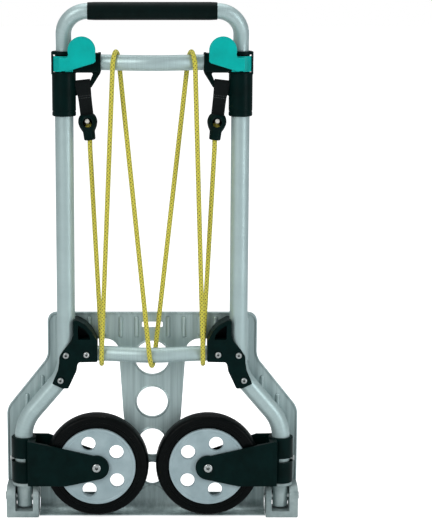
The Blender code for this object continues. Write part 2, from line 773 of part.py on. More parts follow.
def make_axle(side, label, pivot):
    centre = (side * AXLE_X, 0, AXLE_Z)
    head = CHEEK_REAR_Y - FIT_GAP
    screw = (
        (0, 0.0188),
        (AXLE_RADIUS, 0.0188),
        (AXLE_RADIUS, head),
        (0.0060, head),
        (0.0060, head - 0.0012),
        (0.0050, head - 0.0020),
        (0.0024, head - 0.0020),
        (0.0018, head - 0.0006),
        (0, head - 0.0006),
    )
    attach(turned(label + "_axle_screw", screw, "zinc", "Y", centre, 20), pivot)
    nut = (
        (0.0070, 0.0193),
        (0.0070, CHEEK_FRONT_Y + FIT_GAP),
        (AXLE_RADIUS + FIT_GAP, CHEEK_FRONT_Y + FIT_GAP),
        (AXLE_RADIUS + FIT_GAP, 0.0193),
    )
    attach(turned(label + "_axle_nut", nut, "zinc", "Y", centre, 18, ring=True), pivot)


def make_wheel(side, label, arm_pivot):
    centre = (side * AXLE_X, 0, AXLE_Z)
    spin = make_joint(label + "_wheel_spin", centre, arm_pivot)
    tread = WHEEL_RADIUS
    tyre = (
        (RIM_RADIUS + 0.0035, TYRE_FRONT_Y),
        (tread - 0.0075, TYRE_FRONT_Y),
        (tread - 0.0028, TYRE_FRONT_Y - 0.0030),
        (tread - 0.0006, TYRE_FRONT_Y - 0.0080),
        (tread, -0.0070),
        (tread - 0.0006, TYRE_REAR_Y + 0.0080),
        (tread - 0.0028, TYRE_REAR_Y + 0.0030),
        (tread - 0.0075, TYRE_REAR_Y),
        (RIM_RADIUS + 0.0035, TYRE_REAR_Y),
        (RIM_RADIUS, TYRE_REAR_Y + 0.0015),
        (RIM_RADIUS, TYRE_FRONT_Y - 0.0015),
    )
    attach(turned(label + "_tyre", tyre, "tyre", "Y", centre, WHEEL_STEPS, ring=True), spin)
    rim = RIM_RADIUS - FIT_GAP
    hub = (
        (rim, 0.0060),
        (rim, HUB_FACE_Y + 0.0012),
        (rim - 0.0012, HUB_FACE_Y),
        (BUSH_RADIUS + FIT_GAP, HUB_FACE_Y),
        (BUSH_RADIUS + FIT_GAP, 0.0105),
        (0.0120, 0.0105),
        (0.0130, -0.0185),
        (rim - 0.0050, -0.0185),
        (rim - 0.0040, 0.0060),
    )
    wheel = turned(label + "_wheel_hub", hub, "hub", "Y", centre, WHEEL_STEPS, ring=True)
    for i in range(HUB_HOLES):
        angle = HUB_HOLE_START + math.tau * i / HUB_HOLES
        x = side * (AXLE_X - HUB_HOLE_CIRCLE * math.cos(angle))
        z = AXLE_Z + HUB_HOLE_CIRCLE * math.sin(angle)
        cut(wheel, rod_mesh("hole", (x, -0.03, z), (x, 0.0, z), HUB_HOLE_RADIUS, 16), f"hole_{i}")
    attach(wheel, spin)
    bush = (
        (BUSH_RADIUS, 0.0108),
        (BUSH_RADIUS, HUB_FACE_Y - 0.0002),
        (AXLE_RADIUS + FIT_GAP, HUB_FACE_Y - 0.0002),
        (AXLE_RADIUS + FIT_GAP, 0.0108),
    )
    attach(turned(label + "_wheel_bush", bush, "plastic", "Y", centre, 20, ring=True), spin)


# Toe plate with its feet and hinge pins
def plate_outline(inset=0.0, foot_z=0.0470):
    half, top_half = PLATE_HALF - inset, PLATE_TOP_HALF - inset
    corners = [(0.1653, 0.024), (0.1653, foot_z), (half, foot_z), (half, 0.156)]
    corners += [(top_half, 0.232), (top_half, PLATE_TOP_Z - inset)]
    radii = [0, 0, 0, 0.025, 0.030, 0.013]
    corners += [(-x, z) for x, z in reversed(corners)]
    return rounded_outline(corners, radii + radii[::-1], 3)


def cutout_outline(side):
    corners = [(0.0205, 0.026), (0.139, 0.026), (0.153, 0.048), (0.180, 0.080), (0.183, 0.142)]
    corners += [(0.120, 0.218), (0.117, 0.2595), (0.0485, 0.2595), (0.0476, 0.226), (0.042, 0.143)]
    radii = [0.004, 0.008, 0.010, 0.015, 0.020, 0.020, 0.014, 0.020, 0, 0]
    return mirrored(rounded_outline(corners, radii, 3), side)


SPINE_HOLES = ((0.2315, 0.025), (0.1653, 0.0225), (0.1045, 0.020), (0.0571, 0.0165))
TOP_SLOT = ((0.015, 0.2764), (0.015, 0.2846), (-0.015, 0.2846), (-0.015, 0.2764))


BEAD_SPANS = (
    (0.262, 0.291),
    (0.262, 0.291),
    (0.266, 0.291),
    (0.266, 0.291),
    (0.266, 0.291),
    (0.225, 0.291),
    (0.160, 0.205),
    (0.145, 0.178),
)


def beads_and_heel_mesh():
    # The pressed beads stand proud of the rear face; each ends short of the holes and the edges.
    mesh = bpy.data.meshes.new("beads_and_heel")
    work = bmesh.new()
    work.from_mesh(heel_mesh())
    rear = SHEET_Y - RIM_HALF_DEPTH + 0.0001
    for index, (bottom, top) in enumerate(BEAD_SPANS, start=1):
        for side in (-1, 1):
            x = side * index * BEAD_PITCH
            low = (x - BEAD_HALF_WIDTH, rear, bottom)
            high = (x + BEAD_HALF_WIDTH, SHEET_Y, top)
            work.from_mesh(block_mesh("bead", low, high))
    work.to_mesh(mesh)
    work.free()
    return mesh


def make_toe_plate():
    fold = make_joint("toe_plate_hinge", (0, 0, PIVOT_Z))
    inset = RIM_WALL / 2
    outlines = [plate_outline(inset), cutout_outline(-1), cutout_outline(1), list(TOP_SLOT)]
    outlines += [circle(0, z, radius, 24) for z, radius in SPINE_HOLES]
    low, high = SHEET_Y - SHEET_HALF, SHEET_Y + SHEET_HALF
    plate = add_part("toe_plate", sheet_mesh("plate", outlines, "XZ", low, high), "plate")
    rim = ribbon_mesh("rim", plate_outline(inset, 0.0474)[2:-2], RIM_HALF_DEPTH)
    rim.transform(Matrix.Translation((0, SHEET_Y, 0)) @ PLANES["XZ"].to_4x4())
    wall = add_helper("rim_wall", outward(rim))
    solid = wall.modifiers.new("wall", "SOLIDIFY")
    solid.thickness = RIM_WALL
    solid.offset = 0.0
    boolean(plate, wall, "UNION", "MANIFOLD")
    join(plate, beads_and_heel_mesh(), "beads_and_heel", "MANIFOLD")
    attach(plate, fold)
    for side, label in ((-1, "left"), (1, "right")):
        make_foot(side, label, fold)


def heel_mesh():
    # The lower edge, rolled rearward under the wheels on a quarter circle.
    half = SHEET_HALF - 0.0001
    centre_y, centre_z = SHEET_Y - HEEL_RADIUS, HEEL_RADIUS + half
    turns = [math.radians(90 * i / 8) for i in range(9)]
    outline = []
    for radius, order in ((HEEL_RADIUS + half, turns), (HEEL_RADIUS - half, turns[::-1])):
        outline += [(centre_y + radius * math.cos(a), centre_z - radius * math.sin(a)) for a in order]
    outer, inner = outline[:9], outline[9:]
    profile = [(SHEET_Y + half, 0.0255), *outer, (BEND_INNER_EDGE_Y, 0.0)]
    profile += [(BEND_INNER_EDGE_Y, 2 * half), *inner, (SHEET_Y - half, 0.0255)]
    return sheet_mesh("heel", [profile], "YZ", -0.1652, 0.1652)


def make_foot(side, label, fold):
    turns = [math.radians(180 - 90 * i / 6) for i in range(7)]
    outline = [(0.0266, FOOT_TOP_Z), (0.0266, 0.025), (0.018, 0.014), (0.018, 0.002), (0.016, 0.0)]
    outline += [(-0.015, 0.0), (-0.017, 0.002)]
    outline += [(0.017 * math.cos(a), PIVOT_Z + 0.017 * math.sin(a)) for a in turns]
    low, high = sorted((side * FOOT_INNER, side * PLATE_HALF))
    foot = add_part(label + "_toe_foot", sheet_mesh("foot", [outline], "YZ", low, high), "cast")
    near, far = FOOT_CAVITY
    cavity = block_mesh("cavity", (side * near, -0.03, 0.010), (side * far, 0.0193, 0.06))
    cut(foot, cavity, "cavity")
    start = (side * 0.15, 0, PIVOT_Z)
    end = (side * 0.23, 0, PIVOT_Z)
    cut(foot, rod_mesh("hole", start, end, 0.0042, 20), "pin")
    attach(foot, fold)
    pin = (
        (0, 0.2147),
        (0.0050, 0.2147),
        (0.0060, 0.2137),
        (0.0060, PLATE_HALF + FIT_GAP),
        (0.0039, PLATE_HALF + FIT_GAP),
        (0.0039, 0.1640),
        (0, 0.1640),
    )
    rod = turned(label + "_hinge_pin", pin, "zinc", "X", (0, 0, PIVOT_Z), 20)
    if side < 0:
        rod.rotation_euler = (0, -math.pi / 2, 0)
    attach(rod, fold)


clear_scene()
make_crossbars()
make_handle()
for truck_side, side_label in ((-1, "left"), (1, "right")):
    make_frame_tube(truck_side, side_label)
    make_collar(truck_side, side_label)
    make_lever(truck_side, side_label)
    make_strap(truck_side, side_label)
    make_buckle(truck_side, side_label)
    make_bracket(truck_side, side_label)
    make_post_end(truck_side, side_label)
    make_arm(truck_side, side_label)
make_cord()
make_toe_plate()
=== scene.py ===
import math
import bpy
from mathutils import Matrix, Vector


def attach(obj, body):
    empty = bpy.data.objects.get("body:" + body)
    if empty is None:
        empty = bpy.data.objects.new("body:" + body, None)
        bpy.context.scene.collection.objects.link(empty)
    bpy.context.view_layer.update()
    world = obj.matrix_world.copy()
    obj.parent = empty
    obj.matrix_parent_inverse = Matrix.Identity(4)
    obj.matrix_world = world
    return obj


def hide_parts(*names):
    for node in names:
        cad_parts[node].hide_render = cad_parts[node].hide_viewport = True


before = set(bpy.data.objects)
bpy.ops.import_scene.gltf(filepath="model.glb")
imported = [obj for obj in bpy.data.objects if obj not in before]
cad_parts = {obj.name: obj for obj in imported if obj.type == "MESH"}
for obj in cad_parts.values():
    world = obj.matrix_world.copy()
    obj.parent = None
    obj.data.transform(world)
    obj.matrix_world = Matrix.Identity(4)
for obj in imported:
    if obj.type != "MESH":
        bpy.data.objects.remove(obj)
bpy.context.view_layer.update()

# Folding hand truck, folded flat and seen from behind. Metres, +Z up, +Y towards the load.
# Every piece is modelled at its place in the CAD frame and stands in for one or more CAD nodes.
# The right-hand piece of a pair is modelled and its mirror image becomes the left-hand one.

fitGap = 0.0003


# camera, lights and floor

studio = {
    "target": (0.0, 0.0, 0.37),
    "distance": 2.5,
    "downBy": 10.5,        # degrees
    "lens": 121.0,
    "shift": (0.1225, 0.0127),
    "floorSize": 30,
    "skyLow": (0.08, 0.083, 0.085),
    "skyHigh": (0.4, 0.41, 0.42),
    "backdrop": (1.0, 1.0, 1.0),
    "skyPower": 1.0,
    "lights": {            # place, what it points at, size, watts, colour
        "keyLight": ((-1.7, -2.3, 1.9), (0, 0, 0.35), (1.1, 1.9), 34, (1.0, 0.985, 0.97)),
        "fillLight": ((2.1, -1.7, 1.0), (0, 0, 0.35), (0.7, 1.8), 20, (0.95, 0.98, 1.0)),
        "topLight": ((0.0, 0.5, 2.3), (0, 0, 0.2), (1.8, 1.8), 16, (1, 1, 1)),
    },
}


def nothingSelected():
    if bpy.context.object is not None and bpy.context.object.mode != "OBJECT":
        bpy.ops.object.mode_set(mode="OBJECT")
    bpy.ops.object.select_all(action="DESELECT")


def setStudio(s):
    nothingSelected()
    tilt = math.radians(s["downBy"])
    away = Vector((0, -math.cos(tilt), math.sin(tilt))) * s["distance"]
    bpy.ops.object.camera_add(location=Vector(s["target"]) + away, rotation=(math.pi / 2 - tilt, 0, 0))
    camera = bpy.context.object
    camera.name = "rearCamera"
    camera.data.sensor_fit = "VERTICAL"
    camera.data.sensor_height = 36
    camera.data.lens = s["lens"]
    camera.data.shift_x, camera.data.shift_y = s["shift"]
    bpy.context.scene.camera = camera
    bpy.context.scene.view_settings.view_transform = "Standard"
    for name, (place, aim, size, power, colour) in s["lights"].items():
        turn = (Vector(aim) - Vector(place)).to_track_quat("-Z", "Y").to_euler()
        bpy.ops.object.light_add(type="AREA", location=place, rotation=turn)
        lamp = bpy.context.object
        lamp.name = name
        lamp.data.shape = "RECTANGLE"
        lamp.data.size, lamp.data.size_y = size
        lamp.data.energy = power
        lamp.data.color = colour
    bpy.ops.mesh.primitive_plane_add(size=s["floorSize"], location=(0, 0, -0.0004))
    ground = bpy.context.object
    ground.name = "floor"
    return ground


floor = setStudio(studio)
print("studio is set")


# modelling helpers

def activate(piece):
    nothingSelected()
    piece.select_set(True)
    bpy.context.view_layer.objects.active = piece


def drawLine(name, points):
    # starts as one vertex and is extruded from point to point; edit mode stays on
    nothingSelected()
    bpy.ops.mesh.primitive_plane_add(size=0.001, location=points[0])
    piece = bpy.context.object
    piece.name = name
    bpy.ops.object.transform_apply(location=True, rotation=False, scale=False)
    bpy.ops.object.mode_set(mode="EDIT")
    bpy.ops.mesh.select_mode(type="VERT")
    bpy.ops.mesh.select_all(action="SELECT")
    bpy.ops.mesh.merge(type="CENTER")
    for before, after in zip(points, points[1:]):
        step = Vector(after) - Vector(before)
        bpy.ops.mesh.extrude_vertices_move(TRANSFORM_OT_translate={"value": step})
    return piece


def closeUp(within=1e-6):
    bpy.ops.mesh.select_all(action="SELECT")
    bpy.ops.mesh.remove_doubles(threshold=within)
    bpy.ops.mesh.normals_make_consistent(inside=False)
    bpy.ops.object.mode_set(mode="OBJECT")


def useModifier(piece, kind, **settings):
    activate(piece)
    bpy.ops.object.modifier_add(type=kind)
    modifier = piece.modifiers[-1]
    for key, value in settings.items():
        setattr(modifier, key, value)
    bpy.ops.object.modifier_apply(modifier=modifier.name)
    return piece


def roundEdges(piece, width, segments=3, angle=40):
    return useModifier(
        piece, "BEVEL", width=width, segments=segments, limit_method="ANGLE",
        angle_limit=math.radians(angle), use_clamp_overlap=True, miter_outer="MITER_ARC")


spaces = {  # how a flat outline (a, b) at height c lies in the frame, and which way it is extruded
    "XZ": lambda a, b, c: (a, c, b),
    "XY": lambda a, b, c: (a, b, c),
    "YZ": lambda a, b, c: (c, a, b),
}


def slab(name, outline, plane, low, high, bevel=0.0, segments=3):
    lay = spaces[plane]
    piece = drawLine(name, [lay(a, b, low) for a, b in outline])
    bpy.ops.mesh.select_all(action="SELECT")
    bpy.ops.mesh.edge_face_add()
    up = Vector(lay(0, 0, high - low))
    bpy.ops.mesh.extrude_region_move(TRANSFORM_OT_translate={"value": up})
    closeUp()
    return roundEdges(piece, bevel, segments) if bevel else piece


axes = {"X": (1, 0, 0), "Y": (0, 1, 0), "Z": (0, 0, 1)}


def turned(name, profile, axis, centre, steps=64, ring=False):
    # profile is (radius, height along the axis); a ring closes back on its first point
    sideways = Vector({"X": (0, 0, 1), "Y": (1, 0, 0), "Z": (1, 0, 0)}[axis])
    along, centre = Vector(axes[axis]), Vector(centre)
    points = [centre + sideways * r + along * h for r, h in profile]
    drawLine(name, points + points[:1] * ring)
    bpy.ops.mesh.select_all(action="SELECT")
    bpy.ops.mesh.remove_doubles(threshold=1e-7)
    bpy.ops.mesh.spin(steps=steps, angle=math.tau, center=centre, axis=along)
    closeUp(2e-6)
    return bpy.context.object


def rod(name, start, end, radius, sides=48, bevel=0.0):
    start, end = Vector(start), Vector(end)
    turn = (end - start).to_track_quat("Z", "Y").to_euler()
    nothingSelected()
    bpy.ops.mesh.primitive_cylinder_add(
        vertices=sides, radius=radius, depth=(end - start).length, location=(start + end) / 2, rotation=turn)
    piece = bpy.context.object
    piece.name = name
    bpy.ops.object.transform_apply(location=True, rotation=True, scale=False)
    return roundEdges(piece, bevel) if bevel else piece


def block(name, low, high, bevel=0.0):
    low, high = Vector(low), Vector(high)
    nothingSelected()
    bpy.ops.mesh.primitive_cube_add(size=1, location=(low + high) / 2)
    piece = bpy.context.object
    piece.name = name
    piece.scale = high - low
    bpy.ops.object.transform_apply(location=True, rotation=False, scale=True)
    return roundEdges(piece, bevel) if bevel else piece


def combine(piece, others, operation="UNION"):
    for other in others if isinstance(others, (list, tuple)) else [others]:
        useModifier(piece, "BOOLEAN", operation=operation, solver="EXACT", object=other)
        bpy.data.objects.remove(other)
    return piece


def cutAway(piece, others):
    return combine(piece, others, "DIFFERENCE")


def joinInto(piece, others):
    activate(piece)
    for other in others:
        other.select_set(True)
    bpy.ops.object.join()
    return piece


def sweep(first, last, steps):
    # degrees in, radians out
    return [math.radians(first + (last - first) * i / steps) for i in range(steps + 1)]


def arc(x, inner, outer, angles, between=()):
    # outline of a part of a ring about (x, 0), turning from +X towards the back
    outline = [(x + outer * math.cos(a), -outer * math.sin(a)) for a in angles]
    return outline + list(between) + [(x + inner * math.cos(a), -inner * math.sin(a)) for a in reversed(angles)]


def bothSides(points, sign=-1):
    # an outline's half, then its mirror image in the first axis, back to the start
    return list(points) + [(sign * a, b) for a, b in reversed(points)]


def fillet(before, corner, after, radius, steps):
    before, corner, after = Vector(before), Vector(corner), Vector(after)
    inWay, outWay = (before - corner).normalized(), (after - corner).normalized()
    half = inWay.angle(outWay) / 2
    middle = corner + (inWay + outWay).normalized() * radius / math.sin(half)
    reach = radius / math.tan(half)
    first = (corner + inWay * reach - middle).normalized()
    last = (corner + outWay * reach - middle).normalized()
    return [middle + first.slerp(last, i / steps) * radius for i in range(steps + 1)]


def bentPath(corners, radii, steps=14):
    points = [Vector(corners[0])]
    for i, radius in enumerate(radii):
        points += fillet(corners[i], corners[i + 1], corners[i + 2], radius, steps)
    return points + [Vector(corners[-1])]


def roundCorners(corners, radii, steps=6):
    points = []
    for i, radius in enumerate(radii):
        near = [(*corners[(i + k) % len(corners)], 0.0) for k in (-1, 0, 1)]
        points += [tuple(p.xy) for p in fillet(*near, radius, steps)] if radius else [tuple(corners[i])]
    return points


def layUv(piece, points, radius, sides):
    # u runs round the tube and v along it, both in metres
    along = [0.0]
    for before, after in zip(points, points[1:]):
        along.append(along[-1] + (Vector(after) - Vector(before)).length)
    uv = piece.data.uv_layers.get("along") or piece.data.uv_layers.new(name="along")
    girth, last = math.tau * radius, len(points) * sides
    for face in piece.data.polygons:
        places = [piece.data.loops[i].vertex_index for i in face.loop_indices]
        seam = {v % sides for v in places} >= {0, sides - 1}
        for loop, v in zip(face.loop_indices, places):
            turn = v % sides + (sides if seam and v % sides == 0 else 0)
            uv.data[loop].uv = (girth * turn / sides, along[v // sides] if v < last else 0.0)


def tubeAlong(name, points, radius, sides=48, wall=0.0):
    drawLine(name, points)
    bpy.ops.object.mode_set(mode="OBJECT")
    bpy.ops.object.convert(target="CURVE")
    curve = bpy.context.object
    curve.data.bevel_depth = radius
    curve.data.bevel_resolution = sides // 2 - 2
    curve.data.use_fill_caps = not wall
    bpy.ops.object.convert(target="MESH")
    piece = bpy.context.object
    layUv(piece, points, radius, sides)
    bpy.ops.object.mode_set(mode="EDIT")
    closeUp()
    if wall:
        useModifier(piece, "SOLIDIFY", thickness=wall, offset=-1.0, use_even_offset=True)
    return piece


def mirrored(piece, name):
    activate(piece)
    bpy.ops.object.duplicate()
    copy = bpy.context.object
    copy.name = name
    bpy.ops.object.mode_set(mode="EDIT")
    bpy.ops.mesh.select_all(action="SELECT")
    bpy.ops.transform.resize(value=(-1, 1, 1), center_override=(0, 0, 0))
    bpy.ops.mesh.flip_normals()
    bpy.ops.object.mode_set(mode="OBJECT")
    return copy


# materials

def newGroup(name, outputs, **inputs):
    # the Vector input comes first and the rest are numbers
    tree = bpy.data.node_groups.new(name, "ShaderNodeTree")
    tree.interface.new_socket(name="Vector", in_out="INPUT", socket_type="NodeSocketVector")
    for socket, value in inputs.items():
        made = tree.interface.new_socket(name=socket, in_out="INPUT", socket_type="NodeSocketFloat")
        made.default_value = value
    for socket in outputs:
        tree.interface.new_socket(name=socket, in_out="OUTPUT", socket_type="NodeSocketFloat")
    return tree, add(tree, "NodeGroupInput"), add(tree, "NodeGroupOutput")


def add(tree, kind, feeds=None, **settings):
    made = tree.nodes.new(kind if kind.startswith("NodeGroup") else "ShaderNode" + kind)
    for key, value in settings.items():
        setattr(made, key, value)
    for key, value in (feeds or {}).items():
        if isinstance(value, bpy.types.NodeSocket):
            tree.links.new(value, made.inputs[key])
        else:
            made.inputs[key].default_value = value
    return made


def calc(tree, operation, a, b=0.0, c=None):
    feeds = {0: a, 1: b} if c is None else {0: a, 1: b, 2: c}
    return add(tree, "Math", feeds, operation=operation).outputs[0]


def remap(tree, value, low, high, toLow=0.0, toHigh=1.0):
    feeds = {"Value": value, "From Min": low, "From Max": high, "To Min": toLow, "To Max": toHigh}
    return add(tree, "MapRange", feeds).outputs["Result"]


def noise(tree, vector, scale, detail=4.0, rough=0.55):
    feeds = {"Vector": vector, "Scale": scale, "Detail": detail, "Roughness": rough}
    return add(tree, "TexNoise", feeds).outputs["Fac"]


def buildGrain():
    # moulded or cast skin: fine bumps and slow changes of tone
    tree, source, result = newGroup("skinGrain", ("Height", "Tone"), Scale=900.0)
    vector, scale = source.outputs["Vector"], source.outputs["Scale"]
    tree.links.new(noise(tree, vector, scale, 6.0, 0.6), result.inputs["Height"])
    slow = noise(tree, vector, calc(tree, "MULTIPLY", scale, 0.03), 5.0, 0.6)
    tree.links.new(remap(tree, slow, 0.32, 0.68), result.inputs["Tone"])
    return tree


def buildDrawn():
    # fine lines left by drawing or brushing, long one way and close together the other
    tree, source, result = newGroup("drawnLines", ("Height", "Tone"), Across=2500.0, Along=12.0)
    parts = add(tree, "SeparateXYZ", {0: source.outputs["Vector"]})
    across = calc(tree, "MULTIPLY", parts.outputs["X"], source.outputs["Across"])
    along = calc(tree, "MULTIPLY", parts.outputs["Y"], source.outputs["Along"])
    third = calc(tree, "MULTIPLY", parts.outputs["Z"], source.outputs["Across"])
    stretched = add(tree, "CombineXYZ", {"X": across, "Y": along, "Z": third}).outputs[0]
    tree.links.new(noise(tree, stretched, 1.0, 3.0), result.inputs["Height"])
    broad = noise(tree, stretched, 0.06, 6.0, 0.7)
    tree.links.new(remap(tree, broad, 0.3, 0.7), result.inputs["Tone"])
    return tree


def buildWear():
    # edges rubbed paler, broken up by noise
    tree, source, result = newGroup("edgeWear", ("Mask",), Radius=0.0006, Breakup=160.0)
    soft = add(tree, "Bevel", {"Radius": source.outputs["Radius"]}, samples=4).outputs["Normal"]
    hard = add(tree, "NewGeometry").outputs["Normal"]
    match = add(tree, "VectorMath", {0: soft, 1: hard}, operation="DOT_PRODUCT").outputs["Value"]
    edge = remap(tree, match, 0.995, 0.86)
    spots = noise(tree, source.outputs["Vector"], source.outputs["Breakup"], 5.0, 0.7)
    tree.links.new(calc(tree, "MULTIPLY", edge, remap(tree, spots, 0.42, 0.62)), result.inputs["Mask"])
    return tree


def buildDust():
    # settles on what faces up, in patches
    tree, source, result = newGroup("settledDust", ("Mask",), Scale=60.0)
    up = add(tree, "SeparateXYZ", {0: add(tree, "TexCoord").outputs["Normal"]}).outputs["Z"]
    spots = noise(tree, source.outputs["Vector"], source.outputs["Scale"], 6.0, 0.7)
    share = calc(tree, "MULTIPLY", remap(tree, up, 0.15, 0.95), remap(tree, spots, 0.35, 0.7))
    tree.links.new(share, result.inputs["Mask"])
    return tree


def buildRecessShade():
    # painted shade: darkens corners and recesses that ambient occlusion finds, broken up by noise
    tree, source, result = newGroup("paintedRecessShade", ("Mask",), Reach=0.003, Scale=220.0)
    reach = {"Distance": source.outputs["Reach"]}
    openness = add(tree, "AmbientOcclusion", reach, samples=6, only_local=True).outputs["AO"]
    spots = remap(tree, noise(tree, source.outputs["Vector"], source.outputs["Scale"]), 0.3, 0.7, 0.7, 1.0)
    share = calc(tree, "MULTIPLY", remap(tree, openness, 0.72, 0.22), spots)
    tree.links.new(share, result.inputs["Mask"])
    return tree


def buildBraid():
    # strands crossing over and under, with dark tracer flecks in step along the cord
    tree, source, result = newGroup("braid", ("Height", "Tone", "Fleck"), Around=0.022, Pitch=0.0054)
    parts = add(tree, "SeparateXYZ", {0: source.outputs["Vector"]})
    turn = calc(tree, "DIVIDE", parts.outputs["X"], source.outputs["Around"])
    run = calc(tree, "DIVIDE", parts.outputs["Y"], source.outputs["Pitch"])
    waves = []
    for sign in (1, -1):
        slanted = calc(tree, "MULTIPLY_ADD", turn, 8.0 * sign, calc(tree, "MULTIPLY", run, 4.0))
        waves.append(calc(tree, "SINE", calc(tree, "MULTIPLY", slanted, math.tau)))
    height = calc(tree, "MULTIPLY_ADD", calc(tree, "MULTIPLY", waves[0], waves[1]), 0.5, 0.5)
    tree.links.new(height, result.inputs["Height"])
    fuzz = noise(tree, source.outputs["Vector"], 1400.0)
    tone = calc(tree, "MULTIPLY_ADD", fuzz, 0.6, calc(tree, "MULTIPLY", height, 0.5))
    tree.links.new(remap(tree, tone, 0.25, 0.8), result.inputs["Tone"])
    rows = calc(tree, "MULTIPLY", turn, 8.0)
    shifted = calc(tree, "MULTIPLY_ADD", calc(tree, "FLOOR", rows), 0.5, run)
    nearRow, nearStep = [
        calc(tree, "ABSOLUTE", calc(tree, "SUBTRACT", calc(tree, "FRACT", place), 0.5)) for place in (rows, shifted)]
    spot = calc(tree, "ADD", calc(tree, "MULTIPLY", nearRow, 1.5), calc(tree, "MULTIPLY", nearStep, 2.9))
    tree.links.new(remap(tree, spot, 0.6, 0.44), result.inputs["Fleck"])
    return tree


def buildWeave():
    # webbing: ribs along the strap crossed by the weft
    tree, source, result = newGroup("webbing", ("Height", "Tone"), Across=900.0, Along=1300.0)
    parts = add(tree, "SeparateXYZ", {0: source.outputs["Vector"]})
    across = calc(tree, "MULTIPLY", parts.outputs["X"], source.outputs["Across"])
    along = calc(tree, "MULTIPLY", parts.outputs["Y"], source.outputs["Along"])
    warp = calc(tree, "ABSOLUTE", calc(tree, "SINE", calc(tree, "MULTIPLY", across, math.pi)))
    shifted = calc(tree, "MULTIPLY_ADD", calc(tree, "FLOOR", across), 0.5, along)
    weft = calc(tree, "ABSOLUTE", calc(tree, "SINE", calc(tree, "MULTIPLY", shifted, math.pi)))
    height = calc(tree, "MULTIPLY", warp, calc(tree, "POWER", weft, 0.5))
    tree.links.new(height, result.inputs["Height"])
    fuzz = noise(tree, source.outputs["Vector"], 500.0, 5.0)
    tone = calc(tree, "MULTIPLY_ADD", height, 0.6, calc(tree, "MULTIPLY", fuzz, 0.4))
    tree.links.new(tone, result.inputs["Tone"])
    return tree


patterns = {"grain": buildGrain(), "drawn": buildDrawn(), "braid": buildBraid(), "weave": buildWeave()}
edgeWear, settledDust, paintedRecessShade = buildWear(), buildDust(), buildRecessShade()

